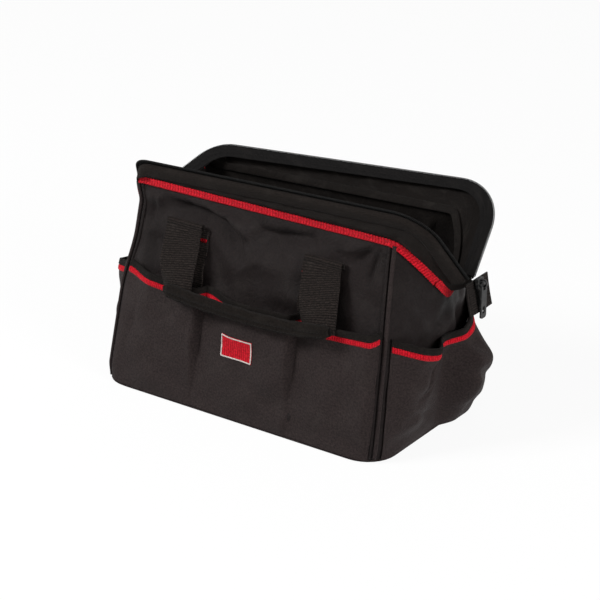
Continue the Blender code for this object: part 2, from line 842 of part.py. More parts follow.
def handle(name, side, fold_depth, grip_depth, pivot):
    """One handle of folded webbing: a half that is open at the middle plane, with a Mirror."""
    work = bmesh.new()
    rings = []
    for centre, across, thick in handle_rows(side, fold_depth, grip_depth):
        corners = (-across - thick, -thick, across - thick, across + thick, thick, -across + thick)
        rings.append([work.verts.new(centre + corner) for corner in corners])
    for low, high in zip(rings, rings[1:]):
        for i in range(len(low)):
            j = (i + 1) % len(low)
            work.faces.new((low[i], low[j], high[j], high[i]))
    first = rings[0]
    work.faces.new((first[0], first[1], first[4], first[5]))
    work.faces.new((first[1], first[2], first[3], first[4]))
    bmesh.ops.recalc_face_normals(work, faces=work.faces)
    mesh = bpy.data.meshes.new(name)
    work.to_mesh(mesh)
    work.free()
    obj = bpy.data.objects.new(name, mesh)
    mirror = obj.modifiers.new("Other half", "MIRROR")
    mirror.use_clip = True
    mirror.merge_threshold = 0.0001
    return link(obj, WEBBING, pivot)


# Zip tail, slider and pull


tail_turn = math.radians(tail_hang_degrees)
tail_down = Vector((math.sin(tail_turn), 0, -math.cos(tail_turn)))
tail_out = Vector((math.cos(tail_turn), 0, math.sin(tail_turn)))
tail_top = mouth_right + Vector((band_thickness / 2 + seat_gap, 0, tail_rise))
chain_lift = tail_thickness + seat_gap
slider_lift = chain_lift + tail_chain_thickness + seat_gap
slider_place = tail_top + tail_down * (slider_length / 2 - slider_rise)
pull_pivot = slider_place + tail_out * (slider_lift + slider_thickness + bail_stand)


def zip_tail():
    """The tail of the zip: a sewn tab that hangs outside the dip, with the closed end of the chain on it."""
    size = (tail_thickness, tail_width, tail_length)
    centre = tail_top + tail_down * tail_length / 2 + tail_out * tail_thickness / 2
    centre.y += tail_shift
    slab("zip_tail_tab", size, centre, -tail_turn, WEBBING)
    length = tail_length - tail_chain_margin
    size = (tail_chain_thickness, tail_chain_width, length)
    centre = tail_top + tail_down * length / 2 + tail_out * (chain_lift + tail_chain_thickness / 2)
    slab("zip_tail_chain", size, centre, -tail_turn, ZIP)


def slider(pivot):
    """The slider's body with the wire bail that the pull hangs on."""
    size = (slider_thickness, slider_width, slider_length)
    centre = slider_place + tail_out * (slider_lift + slider_thickness / 2)
    body = slab("zip_slider", size, centre, -tail_turn, GUNMETAL, pivot, edge=slider_edge)
    bpy.ops.mesh.primitive_torus_add(
        major_radius=bail_radius,
        minor_radius=bail_wire_radius,
        major_segments=20,
        minor_segments=8,
        location=pull_pivot,
        rotation=(math.pi / 2, 0, 0),
    )
    bail = bpy.context.object
    bail.name = "bail_union"
    bpy.context.collection.objects.unlink(bail)
    cutters.objects.link(bail)
    bail.hide_render = True
    bail.display_type = "WIRE"
    join = body.modifiers.new("Bail", "BOOLEAN")
    join.operation = "UNION"
    join.solver = "EXACT"
    join.object = bail


def pull(pivot):
    """The flat pull, with a slot round the bail and a hole near its free end."""
    half = pull_width / 2
    top, bottom = pull_top_strip / 2, pull_top_strip / 2 - pull_length
    body = rounded_rectangle(half, pull_length / 2, pull_corner_radius, 2)
    body = [point + Vector((0, (top + bottom) / 2, 0)) for point in body]
    slot_top = -pull_top_strip / 2
    slot = rounded_rectangle(pull_slot_half_width, pull_slot_depth / 2, pull_slot_half_width / 2, 2)
    slot = [point + Vector((0, slot_top - pull_slot_depth / 2, 0)) for point in slot]
    hole_middle = bottom + pull_hole_margin + pull_hole_length / 2
    hole_radius = pull_hole_half_width * pull_hole_round_share
    hole = rounded_rectangle(pull_hole_half_width, pull_hole_length / 2, hole_radius, 3)
    hole = [point + Vector((0, hole_middle, 0)) for point in hole]
    plate = flat_plate("zip_pull", [body, slot, hole], pull_thickness, GUNMETAL, pivot)
    plate.location = pull_pivot
    plate.rotation_euler = (math.pi / 2, 0, math.pi / 2)


def clear_scene():
    for obj in list(bpy.data.objects):
        bpy.data.objects.remove(obj, do_unlink=True)


def collection(name):
    made = bpy.data.collections.new(name)
    bpy.context.scene.collection.children.link(made)
    return made


def main():
    walls = make_walls()
    base()
    body_walls(walls)
    corner_piping(walls)
    for name in ("front", "back", "left", "right"):
        kind = "long" if name in ("front", "back") else "end"
        pocket_parts(name, Pocket(walls[name], kind))
    label(Pocket(walls["front"], "long"))
    for end, name in END_NAMES.items():
        mouth_saddle(end, name)
    for side, name in SIDE_NAMES.items():
        grip_depth = grip_distance(Pocket(walls[name], "long"))
        jaw_parts(side, name, pivot_at(f"{name}_jaw_pivot", mouth_left))
        anchors(walls, side, name)
        depth = fold_centre(walls, side)
        pivot = pivot_at(f"{name}_handle_pivot", (0, side * depth, fold_height))
        handle(f"{name}_handle", side, depth, grip_depth, pivot)
    zip_tail()
    slider_pivot = pivot_at("slider_pivot", slider_place)
    slider(slider_pivot)
    pull_on_bail = pivot_at("pull_pivot", pull_pivot)
    pull_on_bail.parent = slider_pivot
    pull_on_bail.matrix_parent_inverse = slider_pivot.matrix_world.inverted()
    bpy.context.view_layer.update()
    pull(pull_on_bail)


if __name__ == "__main__":
    clear_scene()
    bag = collection("tool_bag")
    cutters = collection("cutters")
    main()
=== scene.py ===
"""The looks of a soft tool bag: slack fabric walls, gathered pockets, a wired zip mouth and webbing handles.

Metres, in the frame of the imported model: +Z up, the front towards -Y, the zip's tail at the +X end.
Side -1 is the front and +1 the back. End -1 is the left and +1 the right, where the zip's tail hangs.
"""

import logging
import math
from collections.abc import Sequence
from dataclasses import dataclass, field
from enum import Enum

import bpy
import numpy as np
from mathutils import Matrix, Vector
from numpy.typing import NDArray


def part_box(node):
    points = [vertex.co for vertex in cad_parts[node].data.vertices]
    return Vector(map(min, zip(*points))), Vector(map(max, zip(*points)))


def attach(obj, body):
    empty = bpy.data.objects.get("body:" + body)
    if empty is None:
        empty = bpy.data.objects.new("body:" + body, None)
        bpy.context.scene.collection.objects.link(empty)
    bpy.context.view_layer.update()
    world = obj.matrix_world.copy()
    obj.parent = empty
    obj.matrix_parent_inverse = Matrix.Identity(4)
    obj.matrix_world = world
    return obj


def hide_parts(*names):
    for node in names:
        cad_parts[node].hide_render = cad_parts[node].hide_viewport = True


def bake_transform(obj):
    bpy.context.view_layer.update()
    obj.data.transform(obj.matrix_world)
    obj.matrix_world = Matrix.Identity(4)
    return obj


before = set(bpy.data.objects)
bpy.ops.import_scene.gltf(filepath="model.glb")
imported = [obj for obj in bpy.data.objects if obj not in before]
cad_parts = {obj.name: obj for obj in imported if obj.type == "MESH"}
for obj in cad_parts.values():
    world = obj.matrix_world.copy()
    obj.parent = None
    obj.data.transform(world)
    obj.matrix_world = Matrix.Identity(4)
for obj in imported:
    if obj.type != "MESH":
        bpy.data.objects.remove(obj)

Array = NDArray[np.float64]
Flat = tuple[float, float]
log = logging.getLogger("tool_bag")
SIDES = {-1: "front", 1: "back"}
ENDS = {-1: "left", 1: "right"}
UP = np.array([0.0, 0.0, 1.0])
NEAR = 0.004  # the share of a line's length over which its direction is read
CORNER_STEPS = 8


# Lines, fields and meshes


def unit(vectors: Array) -> Array:
    """Vectors of length 1 in the same directions."""
    return vectors / np.maximum(np.linalg.norm(vectors, axis=-1, keepdims=True), 1e-12)


def smooth(share: Array | float) -> Array:
    """A smooth step from 0 to 1."""
    held = np.clip(share, 0.0, 1.0)
    return held * held * (3 - 2 * held)


def bump(place: Array | float, centre: float, reach: float) -> Array:
    """A smooth hill of height 1 round a centre."""
    return np.exp(-(((place - centre) / reach) ** 2))


def reaches(line: Array) -> Array:
    """How far along a line each of its points is."""
    return np.concatenate(([0.0], np.cumsum(np.linalg.norm(np.diff(line, axis=0), axis=1))))


def read_at(places: Array, reach: Array, values: Array) -> Array:
    """Reads values that are given at points of a line at other places along it.

    Args:
        places: how far along the line to read.
        reach: how far along it each point is.
        values: a point or a direction for each point of the line.

    Returns:
        A point or a direction for each place.
    """
    return np.stack([np.interp(places, reach, values[:, axis]) for axis in range(3)], axis=-1)


class Curve:
    """A line through points, read by the share of its length."""

    def __init__(self, points: Array | Sequence) -> None:
        """Measures the line.

        Args:
            points: the points of the line, in order.
        """
        self.points = np.asarray(points, float)
        self.reach = reaches(self.points)
        self.length = float(self.reach[-1])

    def at(self, share: Array | float) -> Array:
        """The points at shares of the length from 0 to 1."""
        return read_at(np.clip(share, 0, 1) * self.length, self.reach, self.points)

    def along(self, share: Array | float) -> Array:
        """The directions of the line at these shares."""
        return unit(self.at(np.asarray(share) + NEAR) - self.at(np.asarray(share) - NEAR))


def arc(centre: Array, radius: float, start: float, stop: float, steps: int) -> Array:
    """Points on a level arc.

    Args:
        centre: the arc's centre.
        radius: its radius.
        start: the first angle, in degrees from +X.
        stop: the last angle.
        steps: how many pieces the arc is cut into.

    Returns:
        The points, in order.
    """
    turn = np.radians(np.linspace(start, stop, steps + 1))
    return centre + radius * np.stack([np.cos(turn), np.sin(turn), 0 * turn], axis=-1)


def rounded(line: Array, passes: int) -> Array:
    """A line with its corners softened, its ends kept.

    Args:
        line: points along the line.
        passes: how often each point moves towards its neighbours.

    Returns:
        As many points.
    """
    soft = np.array(line)
    for _ in range(passes):
        soft[1:-1] += 0.5 * ((soft[:-2] + soft[2:]) / 2 - soft[1:-1])
    return soft


@dataclass(frozen=True)
class Crease:
    """A fold in fabric: a ridge or a furrow along a line, steeper on one side than on the other.

    The line's points lie along and up the piece. Then come the fold's rise and its widths on both sides.
    """

    line: tuple[Flat, ...]
    rise: float
    before: float
    after: float

    def relief(self, along: Array, up: Array) -> Array:
        """How far the fabric stands out because of this fold.

        Args:
            along: how far along the piece each point is.
            up: how far up the piece each point is.

        Returns:
            The height of the fold at each point.
        """
        nodes = np.array(self.line)
        starts = reaches(nodes)
        steps = np.diff(starts)
        best = np.full(along.shape, np.inf)
        side, reached = np.zeros(along.shape), np.zeros(along.shape)
        for first, second, step, start in zip(nodes, nodes[1:], steps, starts):
            way = (second - first) / step
            off_along, off_up = along - first[0], up - first[1]
            run = np.clip(off_along * way[0] + off_up * way[1], 0, step)
            gap = np.hypot(off_along - run * way[0], off_up - run * way[1])
            near = gap < best
            best = np.where(near, gap, best)
            side = np.where(near, way[0] * off_up - way[1] * off_along, side)
            reached = np.where(near, start + run, reached)
        width = np.where(side > 0, self.before, self.after)
        taper = np.sin(np.pi * np.clip(reached / starts[-1], 0.0, 1.0)) ** 0.6
        return self.rise * np.exp(-((best / width) ** 2)) * taper


@dataclass(frozen=True)
class Rumple:
    """Soft unevenness of slack fabric: a sum of slow waves in many directions."""

    seed: int
    rise: float
    shortest: float
    longest: float
    waves: int = 14

    def relief(self, along: Array, up: Array) -> Array:
        """How far the fabric stands out at each point.

        Args:
            along: how far along the piece each point is.
            up: how far up the piece each point is.

        Returns:
            The height of the waves at each point.
        """
        chance = np.random.default_rng(self.seed)
        total = np.zeros(along.shape)
        for _ in range(self.waves):
            length = math.exp(chance.uniform(math.log(self.shortest), math.log(self.longest)))
            turn, start = chance.uniform(0, math.pi), chance.uniform(0, 2 * math.pi)
            across = along * math.cos(turn) + up * math.sin(turn)
            total += (length / self.longest) ** 0.7 * np.sin(2 * math.pi * across / length + start)
        return self.rise * total / math.sqrt(self.waves)


def facing(points: Array) -> Array:
    """The directions square to a grid of points.

    Args:
        points: rows of points.

    Returns:
        One direction for each point, along rows crossed with columns.
    """
    return unit(np.cross(np.gradient(points, axis=1), np.gradient(points, axis=0)))


def lengths_along(points: Array, axis: int) -> Array:
    """How far each point of a grid is from its row's or column's start.

    Args:
        points: rows of points.
        axis: 0 to measure down the columns, 1 along the rows.

    Returns:
        The distance of each point.
    """
    steps = np.linalg.norm(np.diff(points, axis=axis), axis=-1)
    pad = [(0, 0), (0, 0)]
    pad[axis] = (1, 0)
    return np.cumsum(np.pad(steps, pad), axis=axis)


def mesh_object(
    name: str, points: Array, faces: Array, maps: Array, slots: Array | None = None
) -> bpy.types.Object:
    """An object of quads with a map for its weave.

    Args:
        name: the object's name.
        points: its vertices.
        faces: four vertex numbers for each face.
        maps: the place on the cloth, in metres, of each corner of each face.
        slots: the material slot of each face, or None for the first.

    Returns:
        The new object, smooth shaded.
    """
    mesh = bpy.data.meshes.new(name)
    mesh.vertices.add(len(points))
    mesh.vertices.foreach_set("co", np.ascontiguousarray(points, np.float32).ravel())
    mesh.loops.add(faces.size)
    mesh.loops.foreach_set("vertex_index", np.ascontiguousarray(faces, np.int32).ravel())
    mesh.polygons.add(len(faces))
    mesh.polygons.foreach_set("loop_start", np.arange(0, faces.size, 4, dtype=np.int32))
    if slots is not None:
        mesh.polygons.foreach_set("material_index", np.ascontiguousarray(slots, np.int32))
    layer = mesh.uv_layers.new(name="Cloth")
    layer.uv.foreach_set("vector", np.ascontiguousarray(maps, np.float32).ravel())
    mesh.update(calc_edges=True)
    mesh.validate()
    mesh.shade_smooth()
    obj = bpy.data.objects.new(name, mesh)
    bpy.context.scene.collection.objects.link(obj)
    return obj


def grid_faces(rows: int, columns: int, wrap: bool = False) -> Array:
    """The quads of a grid of points that are numbered row by row.

    Args:
        rows: how many rows.
        columns: how many points in a row.
        wrap: whether each row closes on itself.

    Returns:
        Four point numbers for each quad.
    """
    row = np.arange(rows - 1)[:, None]
    column = np.arange(columns if wrap else columns - 1)[None, :]
    right = (column + 1) % columns
    start, after = row * columns, (row + 1) * columns
    corners = (start + column, start + right, after + right, after + column)
    quads = [np.broadcast_to(corner, (rows - 1, column.size)) for corner in corners]
    return np.stack(quads, axis=-1).reshape(-1, 4)


def cloth(name: str, points: Array, thickness: float, outward: Array) -> bpy.types.Object:
    """A sheet of fabric: its face on a grid of points, its back a thickness behind, and its closed edges.

    Args:
        name: the object's name.
        points: rows of points on the face.
        thickness: the fabric's thickness.
        outward: a direction, or one for each point, that the face looks in.

    Returns:
        The object. Its face is slot 0, its back slot 1.
    """
    rows, columns = points.shape[:2]
    normals = facing(points)
    looks_out = float(np.sum(normals * outward)) > 0
    normals = normals if looks_out else -normals
    back = points - normals * thickness
    both = np.concatenate([points.reshape(-1, 3), back.reshape(-1, 3)])
    flat = np.stack([lengths_along(points, 1), lengths_along(points, 0)], axis=-1).reshape(-1, 2)
    flat = np.concatenate([flat, flat])
    front = grid_faces(rows, columns)
    count = rows * columns
    index = np.arange(count).reshape(rows, columns)
    ring = np.concatenate([index[0, :], index[1:, -1], index[-1, -2::-1], index[-2:0:-1, 0]])
    turned = np.roll(ring, -1)
    edge = np.stack([turned, ring, ring + count, turned + count], axis=-1)
    faces = np.concatenate([front, front[:, ::-1] + count, edge])
    if not looks_out:
        faces = faces[:, ::-1]
    slots = np.concatenate([np.zeros(len(front)), np.ones(len(front)), np.zeros(len(edge))])
    obj = mesh_object(name, both, faces, flat[faces.ravel()], slots)
    sharp = obj.data.attributes.new("sharp_edge", "BOOLEAN", "EDGE")
    ends = np.zeros(2 * len(obj.data.edges), np.int32)
    obj.data.edges.foreach_get("vertices", ends)
    ends = ends.reshape(-1, 2)
    rim = np.zeros(2 * count, bool)
    rim[ring], rim[ring + count] = True, True
    same_skin = (ends[:, 0] < count) == (ends[:, 1] < count)
    place = np.full(2 * count, -10)
    place[ring], place[ring + count] = np.arange(len(ring)), np.arange(len(ring))
    gap = np.abs(place[ends[:, 0]] - place[ends[:, 1]])
    neighbours = (gap == 1) | (gap == len(ring) - 1)
    sharp.data.foreach_set("value", rim[ends].all(axis=1) & same_skin & neighbours)
    return obj


def swept(
    name: str, centres: Array, across: Array, outward: Array, profile: Array, caps: bool = True
) -> bpy.types.Object:
    """A closed outline carried along a line.

    Args:
        name: the object's name.
        centres: the line's points.
        across: the outline's first direction at each point.
        outward: its second direction at each point.
        profile: the outline's points, or one outline for each point of the line.
        caps: whether its two ends are closed.

    Returns:
        The object.
    """
    outlines = np.broadcast_to(profile, (len(centres), *profile.shape[-2:]))
    count = outlines.shape[1]
    points = centres[:, None] + across[:, None] * outlines[..., :1] + outward[:, None] * outlines[..., 1:]
    faces = grid_faces(len(centres), count, wrap=True)
    around = np.concatenate([lengths_along(points, 1), np.zeros((len(centres), 1))], axis=1)
    around[:, -1] = around[:, -2] + np.linalg.norm(points[:, -1] - points[:, 0], axis=-1)
    run = reaches(centres)
    row = np.repeat(np.arange(len(centres) - 1), count)
    column = np.tile(np.arange(count), len(centres) - 1)
    corners = ((row, column), (row, column + 1), (row + 1, column + 1), (row + 1, column))
    maps = np.stack([np.stack([around[r, c], run[r]], axis=-1) for r, c in corners], axis=1)
    if caps and count % 2 == 0:
        half = count // 2
        for base, flip in ((0, True), ((len(centres) - 1) * count, False)):
            lower = [base + np.array([i, i + 1, count - 2 - i, count - 1 - i]) for i in range(half - 1)]
            ends = np.array(lower)[:, ::-1] if flip else np.array(lower)
            faces = np.concatenate([faces, ends])
            maps = np.concatenate([maps, np.zeros((len(ends), 4, 2))])
    volume = np.cross(points[0, 1] - points[0, 0], points[0, 2] - points[0, 1])
    flip_all = float(np.dot(volume, centres[1] - centres[0])) < 0
    if flip_all:
        faces, maps = faces[:, ::-1], maps[:, ::-1]
    return mesh_object(name, points.reshape(-1, 3), faces, maps.reshape(-1, 2))


def oval(width: float, height: float, sides: int = 12) -> Array:
    """The points of an oval outline."""
    turn = np.linspace(0, 2 * math.pi, sides, endpoint=False)
    return np.stack([np.cos(turn) * width / 2, np.sin(turn) * height / 2], axis=-1)


def ways_out(line: Array, outward: Array) -> tuple[Array, Array]:
    """Two directions square to a line at each of its points.

    Args:
        line: the line's points.
        outward: the direction that the second one leans to.

    Returns:
        The direction across the line, and the direction out of it.
    """
    along = unit(np.gradient(line, axis=0))
    across = unit(np.cross(along, np.broadcast_to(outward, line.shape)))
    return across, np.cross(across, along)


# The bag's form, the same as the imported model's


@dataclass(frozen=True)
class BagForm:
    """The sizes that more than one sub-assembly needs, in metres."""

    half_length: float = 0.150
    half_depth: float = 0.0875
    corner_radius: float = 0.018
    base_thickness: float = 0.0025
    wall_inset: float = 0.0024
    wall_thickness: float = 0.0014
    gap: float = 0.0003
    wall_bulge: float = 0.003
    end_bulge: float = 0.002
    seam_half_length: dict[int, float] = field(default_factory=lambda: {1: 0.136, -1: 0.132})
    seam_half_depth: dict[int, float] = field(default_factory=lambda: {-1: 0.044, 1: 0.050})
    seam_height: dict[tuple[int, int], float] = field(
        default_factory=lambda: {(-1, 1): 0.187, (-1, -1): 0.184, (1, 1): 0.183, (1, -1): 0.171}
    )
    dip_reach: dict[int, float] = field(default_factory=lambda: {1: 0.160, -1: 0.146})
    dip_height: dict[int, float] = field(default_factory=lambda: {1: 0.134, -1: 0.124})
    dip_bend: dict[int, float] = field(default_factory=lambda: {1: 2.4, -1: 2.0})
    dip_rise_bend: float = 1.25
    mouth_reach: dict[int, float] = field(default_factory=lambda: {1: 0.185, -1: 0.165})
    mouth_height: dict[int, float] = field(default_factory=lambda: {1: 0.149, -1: 0.145})
    frame_height: dict[tuple[int, int], float] = field(
        default_factory=lambda: {(-1, 1): 0.0965, (-1, -1): 0.076, (1, 1): 0.0935, (1, -1): 0.070}
    )
    frame_lean: dict[tuple[int, int], float] = field(
        default_factory=lambda: {(-1, 1): 0.008, (-1, -1): 0.032, (1, 1): 0.010, (1, -1): 0.044}
    )
    frame_radius: dict[tuple[int, int], float] = field(
        default_factory=lambda: {(-1, 1): 0.034, (-1, -1): 0.024, (1, 1): 0.044, (1, -1): 0.042}
    )
    open_degrees: dict[int, float] = field(default_factory=lambda: {-1: 38.5, 1: 48.0})
    corner_pull: dict[tuple[int, int], float] = field(
        default_factory=lambda: {(-1, 1): 0.0015, (-1, -1): 0.0055, (1, 1): -0.0015, (1, -1): 0.004}
    )
    # How far from a corner and from the seam the pull reaches, and the height where it starts with its rise
    pull_reach: float = 0.075
    pull_top: float = 0.022
    pull_foot: Flat = (0.085, 0.055)
    # How far the corners tuck in over the base, and how high and how far along the wall
    tuck: float = 0.0032
    tuck_height: float = 0.018
    tuck_reach: float = 0.022
    # How far the walls' tops lie under the red seam
    seam_lap: float = 0.0012

    def seam_corner(self, side: int, end: int) -> Array:
        """The corner of the red seam at this side and end."""
        along, across = end * self.seam_half_length[end], side * self.seam_half_depth[side]
        return np.array([along, across, self.seam_height[side, end]])

    def dip(self, end: int, share: Array) -> Array:
        """The red seam at an end.

        Args:
            end: which end.
            share: -1 at the front corner, 0 at the dip and 1 at the back corner.

        Returns:
            The points.
        """
        front, back = self.seam_corner(-1, end), self.seam_corner(1, end)
        behind = share > 0
        height = np.where(behind, back[2], front[2])
        depth = np.where(behind, back[1], -front[1])
        far, low = self.dip_reach[end], self.dip_height[end]
        reach = far + (self.seam_half_length[end] - far) * np.abs(share) ** self.dip_bend[end]
        rise = low + (height - low) * np.abs(share) ** self.dip_rise_bend
        return np.stack([end * reach, share * depth, rise], axis=-1)

    def mouth_end(self, end: int) -> Array:
        """The point where the two frames' line ends."""
        return np.array([end * self.mouth_reach[end], 0, self.mouth_height[end]])

    def mouth_axis(self) -> Array:
        """The direction of the line that both frames turn about."""
        return unit(self.mouth_end(1) - self.mouth_end(-1))


class Wall:
    """One upright wall, stretched between the base and the red seam."""

    def __init__(self, form: BagForm, side: int = 0, end: int = 0) -> None:
        """Takes the wall's foot and top from the form.

        Args:
            form: the bag's shared sizes.
            side: the side of a long wall, or 0.
            end: the end of an end wall, or 0.
        """
        self.form, self.side, self.end = form, side, end
        self.name = SIDES[side] if side else ENDS[end]
        self.bulge = form.wall_bulge if side else form.end_bulge
        radius = form.corner_radius - form.wall_inset
        along, across = form.half_length - form.corner_radius, form.half_depth - form.corner_radius
        rise = form.base_thickness + form.gap
        if side:
            centres = (np.array([-along, side * across, rise]), np.array([along, side * across, rise]))
            angles = ((side * 135, side * 90), (side * 90, side * 45))
            top = [form.seam_corner(side, -1), form.seam_corner(side, 1)]
        else:
            centres = (np.array([end * along, -across, rise]), np.array([end * along, across, rise]))
            angles = ((-90 + end * 45, -90 + end * 90), (90 - end * 90, 90 - end * 45))
            top = form.dip(end, np.linspace(-1, 1, 129))
        self.outward = np.array([end, side, 0.0])
        foot = [arc(centre, radius, *turns, CORNER_STEPS) for centre, turns in zip(centres, angles)]
        self.foot = Curve(np.concatenate(foot))
        lowered = np.array(top) - UP * form.seam_lap
        middle = len(lowered) // 2
        self.tops = [Curve(lowered)] if side else [Curve(lowered[: middle + 1]), Curve(lowered[middle:])]

    def top(self, share: Array) -> Array:
        """The wall's top edge at these shares.

        Args:
            share: how far along the wall, from 0 to 1.

        Returns:
            The points.
        """
        if self.side:
            return self.tops[0].at(share)
        first, second = self.tops[0].at(2 * share), self.tops[1].at(2 * share - 1)
        return np.where((share < 0.5)[..., None], first, second)

    def out(self, share: Array) -> Array:
        """The level direction out of the wall.

        Args:
            share: how far along the wall, from 0 to 1.

        Returns:
            One direction for each share.
        """
        line = self.foot.along(share)
        across = unit(np.stack([line[..., 1], -line[..., 0], 0 * line[..., 0]], axis=-1))
        return across * np.sign(across @ self.outward)[..., None]

    def level_at(self, share: Array, height: Array) -> Array:
        """How far up the wall a height is, from 0 to 1."""
        low, high = self.foot.at(share)[..., 2], self.top(share)[..., 2]
        return (height - low) / (high - low)

    def corner_sag(self, share: Array, height: Array) -> Array:
        """How far the slack upper corners pull inwards and the lower ones tuck under.

        Args:
            share: how far along the wall.
            height: how high up.

        Returns:
            The movement of each point.
        """
        form = self.form
        move = np.zeros((*share.shape, 3))
        for first, weight in ((True, 1 - share), (False, share)):
            side = self.side or (-1 if first else 1)
            end = self.end or (-1 if first else 1)
            inwards = unit(np.array([-end, -side, 0.0]))
            from_corner = (1 - weight) * self.foot.length
            below_seam = form.seam_height[side, end] - height
            low, rise = form.pull_foot
            near = smooth(1 - from_corner / form.pull_reach)
            fall = smooth(below_seam / form.pull_top) * smooth((height - low) / rise)
            move += (near * fall)[..., None] * (inwards * form.corner_pull[side, end])
            tuck = smooth(1 - from_corner / form.tuck_reach) * smooth(1 - height / form.tuck_height)
            move += tuck[..., None] * inwards * form.tuck
        return move

    def point(self, share: Array, level: Array, off: Array | float = 0.0) -> Array:
        """Points of the wall.

        Args:
            share: how far along the wall, from 0 to 1.
            level: how far up it, from 0 to 1.
            off: how far out of it.

        Returns:
            The points.
        """
        low, high = self.foot.at(share), self.top(share)
        swell = self.bulge * 4 * level * (1 - level) * (1 - (2 * share - 1) ** 2)
        flat = low + (high - low) * level[..., None]
        return flat + self.out(share) * (swell + off)[..., None] + self.corner_sag(share, flat[..., 2])

    def grid(self, columns: int, levels: int, first: float = 0.0, last: float = 1.0) -> tuple[Array, Array]:
        """Shares and levels of a grid over the wall.

        Args:
            columns: how many points along it.
            levels: how many points up it.
            first: the share where the grid starts.
            last: the share where it ends.

        Returns:
            The share and the level of each point.
        """
        return np.meshgrid(np.linspace(first, last, columns), np.linspace(0, 1, levels))


@dataclass(frozen=True)
class PocketForm:
    """The sizes of one gathered pocket."""

    depths: tuple[float, ...]
    height: float
    sag: float
    bellies: tuple[float, ...] = (0.0, 0.0, 0.0)
    belly_level: float = 0.50
    belly_reach: Flat = (0.42, 0.42)
    slopes: Flat = (0.34, 0.34)
    corner_rise: Flat = (0.0, 0.0)
    thickness: float = 0.0014
    seam_gap: float = 0.0006
    edge_inset: float = 0.0055
    rise_power: float = 0.85
    cell_dip: float = 0.0015
    dividers: tuple[float, ...] = ()
    # How much calmer the folds are at the hem, from which level and over what rise
    hem_calm: float = 0.7
    hem_level: Flat = (0.78, 0.2)
    # The height over which the folds grow from the foot
    foot_calm: float = 0.02


class PocketShape:
    """The surface of a pocket on its wall."""

    def __init__(self, wall: Wall, form: PocketForm, folds: Sequence[Crease | Rumple] = ()) -> None:
        """Keeps the wall and the pocket's sizes.

        Args:
            wall: the wall behind the pocket.
            form: the pocket's sizes.
            folds: its folds, drawn in metres from its middle and from the ground.
        """
        self.wall, self.form, self.folds = wall, form, folds
        self.edge = form.edge_inset / wall.foot.length

    def top(self, place: Array) -> Array:
        """The height of the top edge, which dips a little in each cell.

        Args:
            place: from 0 to 1 along the pocket.

        Returns:
            The height of each place above the ground.
        """
        left, right = self.form.corner_rise
        whole = self.form.height - self.form.sag * (1 - (2 * place - 1) ** 2)
        whole = whole + left * (1 - place) ** 3 + right * place**3
        return whole - self.form.cell_dip * np.sin(np.pi * self.cell(place)[1]) ** 2

    def cell(self, place: Array) -> tuple[Array, Array]:
        """Which cell each place is in, and how far along that cell it is.

        Args:
            place: from 0 to 1 along the pocket.

        Returns:
            The cell's number and the share of its width.
        """
        count = len(self.form.depths)
        edges = np.linspace(0, 1, count + 1)
        if self.form.dividers:
            edges = np.array((0.0, *self.form.dividers, 1.0))
        number = np.clip(np.searchsorted(edges, place, side="right") - 1, 0, count - 1)
        return number, (place - edges[number]) / (edges[number + 1] - edges[number])

    def lobe(self, place: Array) -> Array:
        """How far each cell stands out, from 0 at a seam to 1."""
        within = self.cell(place)[1]
        return smooth(within / self.form.slopes[0]) * smooth((1 - within) / self.form.slopes[1])

    def face(self, place: Array, height: Array) -> Array:
        """Points of the pocket's inner face.

        Args:
            place: from 0 to 1 along the pocket.
            height: how high above the ground.

        Returns:
            The points.
        """
        share = self.edge + (1 - 2 * self.edge) * place
        level = height / self.top(place)
        filled = np.clip(level, 0, 1.2) ** self.form.rise_power
        lobe = self.lobe(place)
        run = (place - 0.5) * self.wall.foot.length
        slack = sum((fold.relief(run, height) for fold in self.folds), np.zeros(place.shape))
        cell = self.cell(place)[0]
        below, above = self.form.belly_reach
        reach = np.where(level < self.form.belly_level, below, above)
        belly = np.array(self.form.bellies)[cell] * bump(level, self.form.belly_level, reach)
        stand = self.form.seam_gap + (np.array(self.form.depths)[cell] * filled + belly) * lobe
        low, rise = self.form.hem_level
        hemmed = 1 - self.form.hem_calm * smooth((level - low) / rise)
        stand = stand + slack * np.sqrt(lobe) * smooth(height / self.form.foot_calm) * hemmed
        return self.wall.point(share, self.wall.level_at(share, height), stand)

    def point(self, place: Array, height: Array, off: Array | float) -> Array:
        """Points off the inner face, measured square to it.

        Args:
            place: from 0 to 1 along the pocket.
            height: how high above the ground.
            off: how far off the face.

        Returns:
            The points.
        """
        before, after = np.maximum(place - NEAR, 0), np.minimum(place + NEAR, 1)
        across = self.face(after, height) - self.face(before, height)
        up = self.face(place, height + 0.001) - self.face(place, height - 0.001)
        normal = unit(np.cross(across, up))
        normal *= np.sign(np.sum(normal * self.wall.outward, axis=-1, keepdims=True))
        return self.face(place, height) + normal * np.asarray(off)[..., None]


